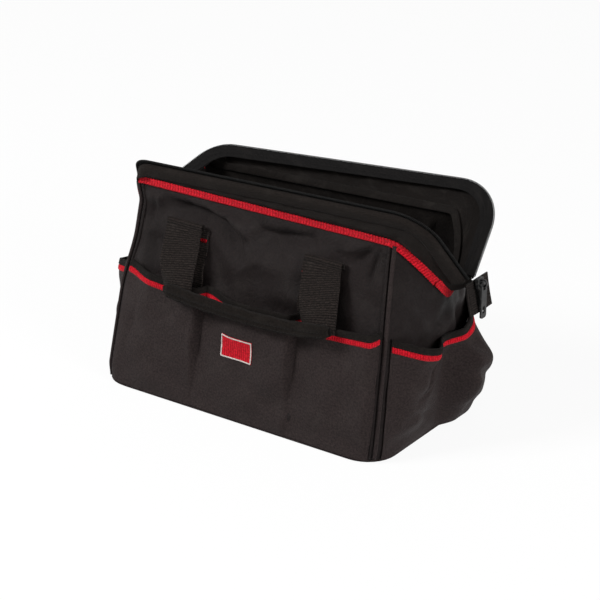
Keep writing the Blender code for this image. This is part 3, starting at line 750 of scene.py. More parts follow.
class JawShape:
    """One half of the mouth: a flat frame, opened outwards about the line through the two dips."""

    def __init__(self, form: BagForm, side: int) -> None:
        """Takes the frame's plane from the form.

        Args:
            form: the bag's shared sizes.
            side: which side's frame.
        """
        self.form, self.side = form, side
        axis = form.mouth_axis()
        up = np.array([-axis[2], 0, axis[0]])
        turn = math.radians(form.open_degrees[side])
        level = np.array([0.0, side, 0.0])
        self.rise = level * math.sin(turn) + up * math.cos(turn)
        self.out = level * math.cos(turn) - up * math.sin(turn)
        self.axis, self.up = axis, up
        self.length = float(np.linalg.norm(form.mouth_end(1) - form.mouth_end(-1)))

    def place(self, flat: Array, lift: float) -> Array:
        """Points of the frame's plane, lifted off its inner face."""
        return self.form.mouth_end(-1) + flat[:, :1] * self.axis + flat[:, 1:] * self.rise + self.out * lift

    def fillet(self, before: Array, corner: Array, after: Array, radius: float) -> Array:
        """A round corner between two straight runs.

        Args:
            before: a point on the run before.
            corner: where the runs meet.
            after: a point on the run after.
            radius: the corner's radius.

        Returns:
            The points of the corner.
        """
        back, on = unit(before - corner), unit(after - corner)
        half = math.acos(float(back @ on)) / 2
        centre = corner + unit(back + on) * radius / math.sin(half)
        start = corner + back * radius / math.tan(half) - centre
        stop = corner + on * radius / math.tan(half) - centre
        mix = np.linspace(0, 1, 2 * CORNER_STEPS + 1)[:, None]
        return centre + unit(start * (1 - mix) + stop * mix) * radius

    def paths(self, inset: float, lift: float, clear: float) -> list[Curve]:
        """The frame's left leg, top and right leg.

        Args:
            inset: how far inside the mouth's edge.
            lift: how far off the frame's inner face.
            clear: how far up the legs start.

        Returns:
            Three lines.
        """
        form, side = self.form, self.side
        low_left, low_right = np.array([inset, 0.0]), np.array([self.length - inset, 0.0])
        high_left = np.array([form.frame_lean[side, -1] + inset, form.frame_height[side, -1] - inset])
        far = self.length - form.frame_lean[side, 1] - inset
        high_right = np.array([far, form.frame_height[side, 1] - inset])
        left = self.fillet(low_left, high_left, high_right, form.frame_radius[side, -1] - inset)
        right = self.fillet(high_left, high_right, low_right, form.frame_radius[side, 1] - inset)
        start = low_left + (high_left - low_left) * clear / high_left[1]
        stop = low_right + (high_right - low_right) * clear / high_right[1]
        middle = CORNER_STEPS
        legs = (
            [start[None], left[: middle + 1]],
            [left[middle:], right[: middle + 1]],
            [right[middle:], stop[None]],
        )
        return [Curve(self.place(np.concatenate(leg), lift)) for leg in legs]

    def rim(self, inset: float, lift: float, clear: float = 0.0050, leg: int = 40, top: int = 150) -> Array:
        """Points along the frame from one leg's end to the other's.

        Args:
            inset: how far inside the mouth's edge.
            lift: how far off the frame's inner face.
            clear: how far up the legs start.
            leg: how many pieces a leg is cut into.
            top: how many pieces the top is cut into.

        Returns:
            The points.
        """
        paths = self.paths(inset, lift, clear)
        parts = [path.at(np.linspace(0, 1, steps + 1)) for path, steps in zip(paths, (leg, top, leg))]
        return np.concatenate([parts[0], parts[1][1:], parts[2][1:]])

    def seam(self, leg: int = 40, top: int = 150) -> Array:
        """Points along the red seam above the frames' line, in step with the rim.

        Args:
            leg: how many pieces a leg is cut into.
            top: how many pieces the long run is cut into.

        Returns:
            The points.
        """
        parts = []
        for end in (-1, 1):
            shares = self.side * np.linspace(1, 0, 241)
            line = self.form.dip(end, shares)
            line = line[(line - self.form.mouth_end(-1)) @ self.up > 0]
            parts.append(Curve(line[::-1] if end < 0 else line).at(np.linspace(0, 1, leg + 1)))
        run = Curve([self.form.seam_corner(self.side, -1), self.form.seam_corner(self.side, 1)])
        return np.concatenate([parts[0], run.at(np.linspace(0, 1, top + 1))[1:], parts[1][1:]])


class Rides(Enum):
    """What a piece moves with."""

    BODY = "body"
    FRONT_MOUTH = "front_jaw"
    BACK_MOUTH = "back_jaw"
    FRONT_HANDLE = "front_handle"
    BACK_HANDLE = "back_handle"


MOUTH = {-1: Rides.FRONT_MOUTH, 1: Rides.BACK_MOUTH}
HANDLE = {-1: Rides.FRONT_HANDLE, 1: Rides.BACK_HANDLE}
# Heights from the body to a mouth's frame, which are not read here; the keys mark the pieces that stay
# unattached
BEND = {Rides.FRONT_MOUTH: (0.152, 0.182), Rides.BACK_MOUTH: (0.150, 0.180)}


def settle(
    obj: bpy.types.Object,
    rides: Rides,
    finishes: Sequence[bpy.types.Material],
    nodes: Sequence[str] = (),
) -> bpy.types.Object:
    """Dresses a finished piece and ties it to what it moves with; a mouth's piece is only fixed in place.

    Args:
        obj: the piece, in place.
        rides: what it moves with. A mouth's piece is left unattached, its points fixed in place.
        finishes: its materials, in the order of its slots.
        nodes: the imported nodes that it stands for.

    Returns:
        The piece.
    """
    for finish in finishes:
        obj.data.materials.append(finish)
    if rides in BEND:
        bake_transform(obj)
    else:
        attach(obj, rides.value)
    if nodes:
        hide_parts(*nodes)
    log.info("%s: %d points, moves with %s", obj.name, len(obj.data.vertices), rides.value)
    return obj


@dataclass(frozen=True)
class Stitching:
    """A row of machine stitches."""

    pitch: float = 0.0032
    length: float = 0.0024
    radius: float = 0.00028
    # The rings of one stitch: how far along it, and their girth and height over the fabric in its radius
    rings: tuple[tuple[float, float, float], ...] = (
        (-0.5, 0.35, -1.1), (-0.36, 0.85, 0.1), (0.0, 1.0, 0.55), (0.36, 0.85, 0.1), (0.5, 0.35, -1.1),
    )
    sides: int = 6

    def _one(self) -> Array:
        """One stitch's points: along it, across it and out of the fabric.

        Returns:
            The rings' points, one ring after the other.
        """
        turn = np.linspace(0, 2 * math.pi, self.sides, endpoint=False)
        circle = np.stack([0 * turn, np.cos(turn), np.sin(turn)], axis=-1) * self.radius
        rings = []
        for along, girth, height in self.rings:
            rings.append(girth * circle + np.array([along * self.length, 0.0, height * self.radius]))
        return np.concatenate(rings)

    def sew(
        self, name: str, lines: Sequence[tuple[Array, Array]], rides: Rides, thread: bpy.types.Material
    ) -> None:
        """Lays stitches along lines on the fabric, all in one object.

        Args:
            name: the object's name.
            lines: for each row, its points and the directions out of the fabric there.
            rides: what they move with.
            thread: their finish.
        """
        template = self._one()
        quads = grid_faces(len(self.rings), self.sides, wrap=True)
        points = []
        for line, outs in lines:
            reach = reaches(line)
            places = np.arange(self.pitch / 2, reach[-1], self.pitch)
            way = unit(read_at(places + 0.0005, reach, line) - read_at(places - 0.0005, reach, line))
            side = unit(np.cross(unit(read_at(places, reach, outs)), way))
            frames = np.stack([way, side, np.cross(way, side)], axis=1)
            points.append(read_at(places, reach, line)[:, None] + template[None] @ frames)
        stitches = np.concatenate(points)
        starts = (np.arange(len(stitches)) * len(template))[:, None, None]
        faces = (quads[None] + starts).reshape(-1, 4)
        maps = np.tile(template[quads.ravel()][:, :2], (len(stitches), 1))
        settle(mesh_object(name, stitches.reshape(-1, 3), faces, maps), rides, (thread,))


# Finishes


def tint(red: int, green: int, blue: int) -> tuple[float, float, float, float]:
    """A screen colour from 0 to 255 as a linear one.

    Args:
        red: its red.
        green: its green.
        blue: its blue.

    Returns:
        The linear colour with its opacity.
    """
    shares = [value / 255 for value in (red, green, blue)]
    linear = [share / 12.92 if share < 0.04045 else ((share + 0.055) / 1.055) ** 2.4 for share in shares]
    return (*linear, 1.0)


class Nodes:
    """Adds and joins the nodes of one material or group."""

    def __init__(self, tree: bpy.types.NodeTree) -> None:
        """Keeps the tree."""
        self.tree = tree

    def add(self, kind: str, inputs: dict | None = None, **settings: object) -> bpy.types.Node:
        """Adds a node.

        Args:
            kind: the node's type.
            inputs: a value, or the socket it is joined to, for each named or numbered input.
            settings: the node's own settings.

        Returns:
            The node.
        """
        node = self.tree.nodes.new(kind)
        for key, value in settings.items():
            setattr(node, key, value)
        self.fill(node, inputs or {})
        return node

    def fill(self, node: bpy.types.Node, inputs: dict) -> None:
        """Sets or joins a node's inputs.

        Args:
            node: the node.
            inputs: a value, or the socket it is joined to, for each named or numbered input.
        """
        for key, value in inputs.items():
            if isinstance(value, bpy.types.NodeSocket):
                self.tree.links.new(value, node.inputs[key])
            else:
                node.inputs[key].default_value = value

    def math(self, operation: str, *values: object) -> bpy.types.NodeSocket:
        """The result of a Math node on these values."""
        return self.add("ShaderNodeMath", dict(enumerate(values)), operation=operation).outputs[0]

    def ranged(
        self, value: bpy.types.NodeSocket, low: float, high: float, to_low: float, to_high: float
    ) -> bpy.types.NodeSocket:
        """A value carried from one range to another.

        Args:
            value: the socket to read.
            low: where its range starts.
            high: where it ends.
            to_low: what the start becomes.
            to_high: what the end becomes.

        Returns:
            The new value's socket.
        """
        inputs = {"Value": value, "From Min": low, "From Max": high, "To Min": to_low, "To Max": to_high}
        return self.add("ShaderNodeMapRange", inputs).outputs["Result"]

    def mixed(self, share: bpy.types.NodeSocket, first: object, second: object) -> bpy.types.NodeSocket:
        """Two colours mixed by a share."""
        node = self.add("ShaderNodeMix", {0: share, 6: first, 7: second}, data_type="RGBA")
        return node.outputs[2]

    def noise(
        self, place: bpy.types.NodeSocket, scale: float, detail: float, bend: float = 0.0
    ) -> bpy.types.NodeSocket:
        """A noise from 0 to 1.

        Args:
            place: the socket of the place to read it at.
            scale: how fine it is.
            detail: how many finer layers it has.
            bend: how far it is distorted.

        Returns:
            The noise's socket.
        """
        inputs = {"Vector": place, "Scale": scale, "Detail": detail, "Distortion": bend}
        return self.add("ShaderNodeTexNoise", inputs).outputs["Fac"]

    def cloth_place(self) -> bpy.types.NodeSocket:
        """The place on the cloth, in metres."""
        return self.add("ShaderNodeUVMap", uv_map="Cloth").outputs["UV"]


def new_material(name: str) -> tuple[bpy.types.Material, Nodes, bpy.types.Node]:
    """A new material.

    Args:
        name: its name.

    Returns:
        The material, its nodes and its shader.
    """
    material = bpy.data.materials.new(name)
    material.use_nodes = True
    return material, Nodes(material.node_tree), material.node_tree.nodes["Principled BSDF"]


def new_group(
    name: str, inputs: dict[str, float | None], outputs: Sequence[str]
) -> tuple[Nodes, bpy.types.Node, bpy.types.Node]:
    """An empty node group.

    Args:
        name: its name.
        inputs: its inputs' values, or None for a vector.
        outputs: its outputs' names.

    Returns:
        The group's nodes, its input node and its output node.
    """
    tree = bpy.data.node_groups.new(name, "ShaderNodeTree")
    for key, value in inputs.items():
        kind = "NodeSocketVector" if value is None else "NodeSocketFloat"
        socket = tree.interface.new_socket(name=key, in_out="INPUT", socket_type=kind)
        if value is not None:
            socket.default_value = value
    for key in outputs:
        tree.interface.new_socket(name=key, in_out="OUTPUT", socket_type="NodeSocketFloat")
    nodes = Nodes(tree)
    return nodes, nodes.add("NodeGroupInput"), nodes.add("NodeGroupOutput")


class Effects:
    """The node groups that several finishes share."""

    def __init__(self) -> None:
        """Builds each group once."""
        self.threads = self._threads()
        self.unevenness = self._unevenness()
        self.grain = self._grain()

    def _threads(self) -> bpy.types.NodeTree:
        """Raised threads of a weave, in rows that may be staggered or run in zigzags.

        Returns:
            The group: the threads' height, and their shade: the same height as painted shade, dark in the
                gaps between threads and light on their tops, with random wear.
        """
        values = {"Cloth": None, "Across": 0.0006, "Along": 0.0006, "Stagger": 1.0, "Zigzag": 0.0}
        nodes, given, result = new_group("Raised threads", values, ("Height", "Shade"))
        place = given.outputs["Cloth"]
        axes = nodes.add("ShaderNodeSeparateXYZ", {0: place}).outputs
        drift = nodes.math("MULTIPLY", nodes.math("SUBTRACT", nodes.noise(place, 420.0, 1.0), 0.5), 0.5)
        across = nodes.math("ADD", nodes.math("DIVIDE", axes["X"], given.outputs["Across"]), drift)
        along = nodes.math("ADD", nodes.math("DIVIDE", axes["Y"], given.outputs["Along"]), drift)
        odd = nodes.math("MODULO", nodes.math("ABSOLUTE", nodes.math("FLOOR", across)), 2.0)
        shift = nodes.math("MULTIPLY", nodes.math("MULTIPLY", odd, 0.5), given.outputs["Stagger"])
        twelfth = nodes.math("FRACT", nodes.math("MULTIPLY", across, 0.0833))
        fold = nodes.math("ABSOLUTE", nodes.math("SUBTRACT", twelfth, 0.5))
        slant = nodes.math("MULTIPLY", fold, given.outputs["Zigzag"])
        along = nodes.math("ADD", nodes.math("ADD", along, shift), slant)
        hills = []
        for line, power in ((across, 0.7), (along, 0.8)):
            wave = nodes.math("ABSOLUTE", nodes.math("SINE", nodes.math("MULTIPLY", line, math.pi)))
            hills.append(nodes.math("POWER", wave, power))
        height = nodes.math("MULTIPLY", *hills)
        worn = nodes.ranged(nodes.noise(place, 560.0, 3.0), 0.34, 0.66, 0.35, 1.4)
        # The shade is painted shade taken from the threads' height, darker in their gaps, times random wear
        nodes.fill(result, {"Height": height, "Shade": nodes.math("MULTIPLY", height, worn)})
        return nodes.tree

    def _unevenness(self) -> bpy.types.NodeTree:
        """Slow changes of tone, dust in patches and the small creases of handled cloth.

        Returns:
            The group: the tone, the dust and the creases, each from about 0 to 1.
        """
        nodes, given, result = new_group("Unevenness", {"Place": None}, ("Tone", "Dust", "Creases"))
        place = given.outputs["Place"]
        tone = nodes.noise(place, 14.0, 3.0, 0.2)
        dust = nodes.ranged(nodes.noise(place, 55.0, 5.0, 0.6), 0.52, 0.78, 0.0, 1.0)
        ridge = nodes.math("ABSOLUTE", nodes.math("SUBTRACT", nodes.noise(place, 95.0, 3.0, 1.2), 0.5))
        creases = nodes.math("SUBTRACT", 1.0, nodes.math("MULTIPLY", ridge, 4.0))
        nodes.fill(result, {"Tone": tone, "Dust": dust, "Creases": creases})
        return nodes.tree

    def _grain(self) -> bpy.types.NodeTree:
        """Fine grain with small scuffs, for metal, board and moulded pieces.

        Returns:
            The group: the grain's height and the scuffs, each from 0 to 1.
        """
        nodes, given, result = new_group("Fine grain", {"Place": None}, ("Height", "Scuffs"))
        place = given.outputs["Place"]
        scuffs = nodes.ranged(nodes.noise(place, 260.0, 6.0, 0.8), 0.5, 0.75, 0.0, 1.0)
        nodes.fill(result, {"Height": nodes.noise(place, 2600.0, 2.0), "Scuffs": scuffs})
        return nodes.tree


@dataclass(frozen=True)
class Weave:
    """How the threads of a cloth lie: their pitch across and along, in metres, and how they step."""

    across: float
    along: float
    stagger: float
    zigzag: float
    depth: float


class WeaveKind(Enum):
    """The kinds of cloth on the bag."""

    PLAIN = Weave(0.00062, 0.00085, 1.0, 0.0, 0.00016)
    COATED = Weave(0.00062, 0.00085, 1.0, 0.0, 0.00006)
    WEBBING = Weave(0.00110, 0.00200, 0.15, 0.0, 0.00070)
    RIBBED_TAPE = Weave(0.00230, 0.00100, 0.3, 0.0, 0.00030)
    CORDED_TAPE = Weave(0.00090, 0.00290, 0.0, 1.2, 0.00050)
    HERRINGBONE = Weave(0.00050, 0.00075, 0.0, 12.0, 0.00016)
    THREAD = Weave(0.00040, 0.00045, 0.0, 1.0, 0.00008)


@dataclass(frozen=True)
class ClothFinish:
    """A woven finish with dust, tone, small creases and painted shade in the gaps between its threads."""

    name: str
    # The colour in the gaps between threads, darkened as painted shade, and the colour on their tops
    dark: tuple[int, int, int]
    light: tuple[int, int, int]
    kind: WeaveKind
    roughness: float = 0.78
    crease_depth: float = 0.0003
    dust: float = 0.03
    dust_colour: tuple[int, int, int] = (120, 114, 108)
    sheen: float = 0.02
    specular: float = 0.05
    crease_strength: float = 0.6
    sheen_roughness: float = 0.45
    # The span of the slow noise that counts, and what its two ends make of the shade and the roughness
    noise_span: Flat = (0.3, 0.7)
    shades: Flat = (0.86, 1.06)
    rougher: Flat = (-0.06, 0.08)

    def build(self, effects: Effects) -> bpy.types.Material:
        """Makes the material.

        Args:
            effects: the shared node groups.

        Returns:
            The material.
        """
        material, nodes, shader = new_material(self.name)
        place, weave = nodes.cloth_place(), self.kind.value
        lay = {
            "Cloth": place, "Across": weave.across, "Along": weave.along,
            "Stagger": weave.stagger, "Zigzag": weave.zigzag,
        }
        threads = nodes.add("ShaderNodeGroup", lay, node_tree=effects.threads).outputs
        uneven = nodes.add("ShaderNodeGroup", {"Place": place}, node_tree=effects.unevenness).outputs
        tone = nodes.ranged(uneven["Tone"], *self.noise_span, *self.shades)
        # Dark in the thread gaps and light on the thread tops by their height: painted shade, with random
        # wear and tone
        shade = nodes.math("MULTIPLY", threads["Shade"], tone)
        cloth_colour = nodes.mixed(shade, tint(*self.dark), tint(*self.light))
        dust = nodes.math("MULTIPLY", uneven["Dust"], self.dust)
        least, most = (self.roughness + change for change in self.rougher)
        folds = {"Height": uneven["Creases"], "Distance": self.crease_depth}
        creases = nodes.add("ShaderNodeBump", {**folds, "Strength": self.crease_strength}).outputs[0]
        relief = {"Height": threads["Height"], "Distance": weave.depth, "Normal": creases}
        look = {
            "Base Color": nodes.mixed(dust, cloth_colour, tint(*self.dust_colour)),
            "Roughness": nodes.ranged(uneven["Tone"], *self.noise_span, least, most),
            "Normal": nodes.add("ShaderNodeBump", relief).outputs[0],
            "Sheen Weight": self.sheen,
            "Sheen Roughness": self.sheen_roughness,
            "Specular IOR Level": self.specular,
        }
        nodes.fill(shader, look)
        return material


@dataclass(frozen=True)
class SolidFinish:
    """A metal, board or moulded finish with fine grain and scuffs."""

    name: str
    colour: tuple[int, int, int]
    scuffed: tuple[int, int, int]
    metallic: float
    roughness: float
    grain_depth: float = 0.00004
    specular: float = 0.5
    scuff_roughness: float = 0.2

    def build(self, effects: Effects) -> bpy.types.Material:
        """Makes the material.

        Args:
            effects: the shared node groups.

        Returns:
            The material.
        """
        material, nodes, shader = new_material(self.name)
        place = nodes.add("ShaderNodeTexCoord").outputs["Object"]
        grain = nodes.add("ShaderNodeGroup", {"Place": place}, node_tree=effects.grain).outputs
        rougher = self.roughness + self.scuff_roughness
        relief = {"Height": grain["Height"], "Distance": self.grain_depth}
        look = {
            "Base Color": nodes.mixed(grain["Scuffs"], tint(*self.colour), tint(*self.scuffed)),
            "Roughness": nodes.ranged(grain["Scuffs"], 0.0, 1.0, self.roughness, rougher),
            "Normal": nodes.add("ShaderNodeBump", relief).outputs[0],
            "Metallic": self.metallic,
            "Specular IOR Level": self.specular,
        }
        nodes.fill(shader, look)
        return material


class Finishes:
    """Every finish on the bag, built once."""

    def __init__(self, effects: Effects) -> None:
        """Builds the materials.

        Args:
            effects: the shared node groups.
        """
        plain, zigzag, thread = WeaveKind.PLAIN, WeaveKind.HERRINGBONE, WeaveKind.THREAD
        red = {"roughness": 0.7, "crease_depth": 0.0001, "dust": 0.02, "dust_colour": (160, 60, 62)}
        red["sheen"] = 0.05
        cloths = {
            "fabric": ClothFinish(
                "Bag fabric", (22, 17, 17), (56, 47, 46), plain, 0.66, 0.0004, specular=0.08
            ),
            # The bag fabric again, darker on the walls than on the pockets: painted shade
            "wall": ClothFinish("Wall fabric with painted shade", (11, 8, 8), (33, 25, 24), plain, 0.52, 0.0005, specular=0.10),
            "band": ClothFinish("Mouth band fabric", (17, 14, 13), (38, 33, 30), plain),
            "lining": ClothFinish(
                "Coated lining", (12, 10, 9), (24, 20, 18), WeaveKind.COATED, 0.72, 0.0006, 0.04
            ),
            "binding": ClothFinish("Binding tape", (14, 12, 11), (34, 30, 28), zigzag, 0.85, 0.0001),
            "webbing": ClothFinish(
                "Handle webbing", (7, 6, 6), (52, 45, 42), WeaveKind.WEBBING, 0.8, 0.0001, 0.04
            ),
            "grip": ClothFinish("Rolled webbing", (10, 8, 7), (36, 31, 28), zigzag, 0.85, 0.0002, 0.04),
            "red": ClothFinish("Red ribbed tape", (128, 6, 18), (226, 28, 46), WeaveKind.RIBBED_TAPE, **red),
            "seam": ClothFinish("Red corded tape", (132, 5, 16), (240, 34, 52), WeaveKind.CORDED_TAPE, **red),
            "border": ClothFinish(
                "Pale woven border", (150, 140, 136), (225, 220, 214), thread, 0.7, 0.0001, 0.04
            ),
            "zip": ClothFinish("Zip tape", (12, 12, 12), (30, 28, 28), zigzag, 0.85, 0.0001, 0.03),
            "thread": ClothFinish("Black thread", (18, 17, 17), (46, 43, 42), thread, 0.7, 0.00005, 0.0),
            "red_thread": ClothFinish("Red thread", (140, 8, 22), (214, 26, 42), thread, 0.6, 0.00005, 0.0),
        }
        solids = {
            "coil": SolidFinish("Zip coil", (12, 12, 12), (30, 28, 27), 0.0, 0.62, specular=0.12),
            "gunmetal": SolidFinish("Painted zip metal", (20, 20, 21), (80, 78, 76), 0.5, 0.38),
            "steel": SolidFinish("Frame wire", (128, 128, 130), (90, 84, 78), 0.95, 0.35),
            "board": SolidFinish("Base board", (22, 21, 20), (44, 41, 39), 0.0, 0.75, 0.0002),
        }
        made = {key: finish.build(effects) for key, finish in {**cloths, **solids}.items()}
        # wall is the darker copy of the bag fabric: painted shade
        self.fabric, self.wall, self.band = made["fabric"], made["wall"], made["band"]
        self.lining, self.binding, self.zip = made["lining"], made["binding"], made["zip"]
        self.webbing, self.grip, self.thread = made["webbing"], made["grip"], made["thread"]
        self.red, self.seam, self.border = made["red"], made["seam"], made["border"]
        self.red_thread, self.coil, self.gunmetal = made["red_thread"], made["coil"], made["gunmetal"]
        self.steel, self.board = made["steel"], made["board"]


# Sub-assemblies


@dataclass
class Shell:
    """The base, the four slack walls and the corner piping."""

    form: BagForm
    finishes: Finishes
    stitching: Stitching = field(default_factory=Stitching)
    columns: int = 150
    levels: int = 96
    level_power: float = 0.9
    usual_height: float = 0.18
    # Over what lengths the folds grow from the sewn edges. At the top and the foot a strip stays flat
    side_fade: float = 0.016
    top_fade: Flat = (0.003, 0.011)
    foot_fade: Flat = (0.002, 0.03)
    # The base's edge, from under it to its top, in shares of its reach and of its thickness
    base_outline: tuple[Flat, ...] = (
        (0.01, 0.0), (0.5, 0.0), (0.93, 0.0), (0.985, 0.1), (1.0, 0.5),
        (0.985, 0.9), (0.93, 1.0), (0.5, 1.0), (0.01, 1.0),
    )
    piping_radius: float = 0.0018
    # How far the piping stands out, and the levels between which it runs
    piping_stand: float = 0.0010
    piping_levels: Flat = (0.006, 0.992)
    ridge_inset: float = 0.00434
    ridge_outline: tuple[Flat, ...] = (
        (-0.0017, -0.0004), (-0.0014, 0.0009), (-0.0007, 0.0014),
        (0.0007, 0.0014), (0.0014, 0.0009), (0.0017, -0.0004),
    )
    ridge_stitch_stand: float = 0.0013
    front_folds: tuple[Crease | Rumple, ...] = (
        Crease(
            (
                (-0.118, 0.176), (-0.090, 0.1690), (-0.062, 0.1688),
                (-0.040, 0.165), (-0.024, 0.153), (-0.008, 0.136),
            ),
            -0.0100, 0.0048, 0.0110,
        ),
        Crease(((-0.080, 0.1765), (-0.036, 0.1745), (-0.006, 0.160), (0.004, 0.137)), 0.0060, 0.0090, 0.0055),
        Crease(((-0.004, 0.168), (0.016, 0.1655), (0.036, 0.1685), (0.062, 0.172)), -0.0064, 0.0040, 0.0060),
        Crease(((0.128, 0.184), (0.118, 0.172), (0.100, 0.158)), -0.0050, 0.0030, 0.0056),
        Crease(((0.131, 0.184), (0.127, 0.166), (0.122, 0.144)), -0.0046, 0.0024, 0.0040),
        Crease(((0.118, 0.180), (0.100, 0.172), (0.084, 0.170)), 0.0024, 0.0030, 0.0050),
        Crease(((-0.122, 0.180), (-0.128, 0.160), (-0.130, 0.140)), -0.0018, 0.0030, 0.0050),
        Rumple(11, 0.0036, 0.022, 0.075),
    )
    back_folds: tuple[Crease | Rumple, ...] = (
        Crease(((-0.110, 0.160), (-0.060, 0.158), (-0.022, 0.150), (0.010, 0.132)), -0.0035, 0.0060, 0.0085),
        Crease(((0.020, 0.165), (0.062, 0.158), (0.100, 0.166)), -0.0028, 0.0050, 0.0070),
        Crease(((0.122, 0.176), (0.112, 0.160), (0.104, 0.150)), -0.0022, 0.0030, 0.0050),
        Rumple(23, 0.0016, 0.024, 0.085),
    )
    end_folds: tuple[Crease | Rumple, ...] = (
        Crease(((-0.052, 0.170), (-0.036, 0.150), (-0.022, 0.128)), -0.0024, 0.0036, 0.0060),
        Crease(((0.054, 0.168), (0.038, 0.146), (0.020, 0.126)), -0.0024, 0.0060, 0.0036),
        Crease(((-0.030, 0.118), (0.0, 0.104), (0.030, 0.116)), 0.0016, 0.0060, 0.0060),
        Rumple(31, 0.0026, 0.020, 0.060),
    )

    def build(self) -> None:
        """Builds every piece of the shell."""
        self._base()
        for side, name in SIDES.items():
            self._panel(Wall(self.form, side=side), f"{name}_wall", f"{name}_panel", 0.0, 1.0, MOUTH[side])
        for end, name in ENDS.items():
            wall = Wall(self.form, end=end)
            self._panel(wall, f"{name}_end_wall_front", f"{name}_end_panel", 0.0, 0.5, Rides.FRONT_MOUTH)
            self._panel(wall, f"{name}_end_wall_back", f"{name}_end_panel", 0.5, 1.0, Rides.BACK_MOUTH)
            for side in SIDES:
                self._piping(side, end)

    def relief(self, wall: Wall, share: Array, level: Array) -> Array:
        """How far a wall's folds stand out.

        Args:
            wall: the wall.
            share: how far along it each point is.
            level: how far up it.

        Returns:
            The height of its folds, which fade towards its sewn edges.
        """
        folds = {-1: self.front_folds, 1: self.back_folds}.get(wall.side, self.end_folds)
        run = (share - 0.5) * wall.foot.length
        height = wall.foot.at(share)[..., 2] * (1 - level) + wall.top(share)[..., 2] * level
        slack = sum((fold.relief(run, height) for fold in folds), np.zeros(share.shape))
        to_side = np.minimum(share, 1 - share) * wall.foot.length
        slack = slack * smooth(to_side / self.side_fade)
        to_top = (1 - level) * self.usual_height
        for off, (flat, fade) in ((to_top, self.top_fade), (height, self.foot_fade)):
            slack = slack * smooth((off - flat) / fade)
        return slack

    def _panel(self, wall: Wall, name: str, node: str, first: float, last: float, rides: Rides) -> None:
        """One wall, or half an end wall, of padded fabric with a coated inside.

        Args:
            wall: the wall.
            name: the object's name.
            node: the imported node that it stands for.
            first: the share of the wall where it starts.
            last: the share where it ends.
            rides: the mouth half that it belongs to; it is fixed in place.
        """
        columns = self.columns if wall.side else self.columns // 3
        share, level = wall.grid(columns, self.levels, first, last)
        level = level**self.level_power
        points = wall.point(share, level, self.relief(wall, share, level))
        sheet = cloth(name, points, self.form.wall_thickness, wall.outward)
        # The walls' face takes the darker wall fabric: painted shade
        settle(sheet, rides, (self.finishes.wall, self.finishes.lining), (node,))

    def _base(self) -> None:
        """The base: a plate of padded fabric with a soft rolled edge."""
        form = self.form
        radius = form.corner_radius + 3 * form.tuck
        corners = []
        for start, along, across in ((180, -1, -1), (270, 1, -1), (0, 1, 1), (90, -1, 1)):
            middle = np.array([along * (form.half_length - radius), across * (form.half_depth - radius), 0])
            corners.append(arc(middle, radius, start, start + 90, CORNER_STEPS))
        outline = np.concatenate(corners)
        rings = [
            outline * np.array([reach, reach, 0]) + UP * form.base_thickness * level
            for reach, level in self.base_outline
        ]
        points = np.array(rings)
        faces = grid_faces(len(rings), points.shape[1], wrap=True)[:, ::-1]
        flat = points.reshape(-1, 3)[:, :2]
        base = mesh_object("base_cloth", points.reshape(-1, 3), faces, flat[faces.ravel()])
        settle(base, Rides.BODY, (self.finishes.fabric,), ("base_panel",))

    def _piping(self, side: int, end: int) -> None:
        """A corner: a round piping with a flat stitched ridge beside it.

        Args:
            side: which side.
            end: which end.
        """
        wall = Wall(self.form, side=side)
        edge = 0.0 if end < 0 else 1.0
        levels = np.linspace(*self.piping_levels, 90)
        out = unit(np.array([end, side, 0.0]))
        line = wall.point(np.full(levels.shape, edge), levels) + out * self.piping_stand
        across, outward = ways_out(line, out)
        name = f"{SIDES[side]}_{ENDS[end]}"
        girth = 2 * self.piping_radius
        tube = swept(f"piping_cord_{name}", line, across, outward, oval(girth, girth, 14))
        settle(tube, MOUTH[side], (self.finishes.fabric,), (f"piping_{name}",))
        beside = wall.point(np.full(levels.shape, abs(edge - self.ridge_inset / wall.foot.length)), levels)
        across, outward = ways_out(beside, wall.outward)
        ridge = swept(f"piping_ridge_{name}", beside, across, outward, np.array(self.ridge_outline))
        # The ridge takes the same darker wall fabric: painted shade
        settle(ridge, MOUTH[side], (self.finishes.wall,), ())
        rows = [(beside + outward * self.ridge_stitch_stand, outward)]
        self.stitching.sew(f"piping_stitches_{name}", rows, MOUTH[side], self.finishes.thread)


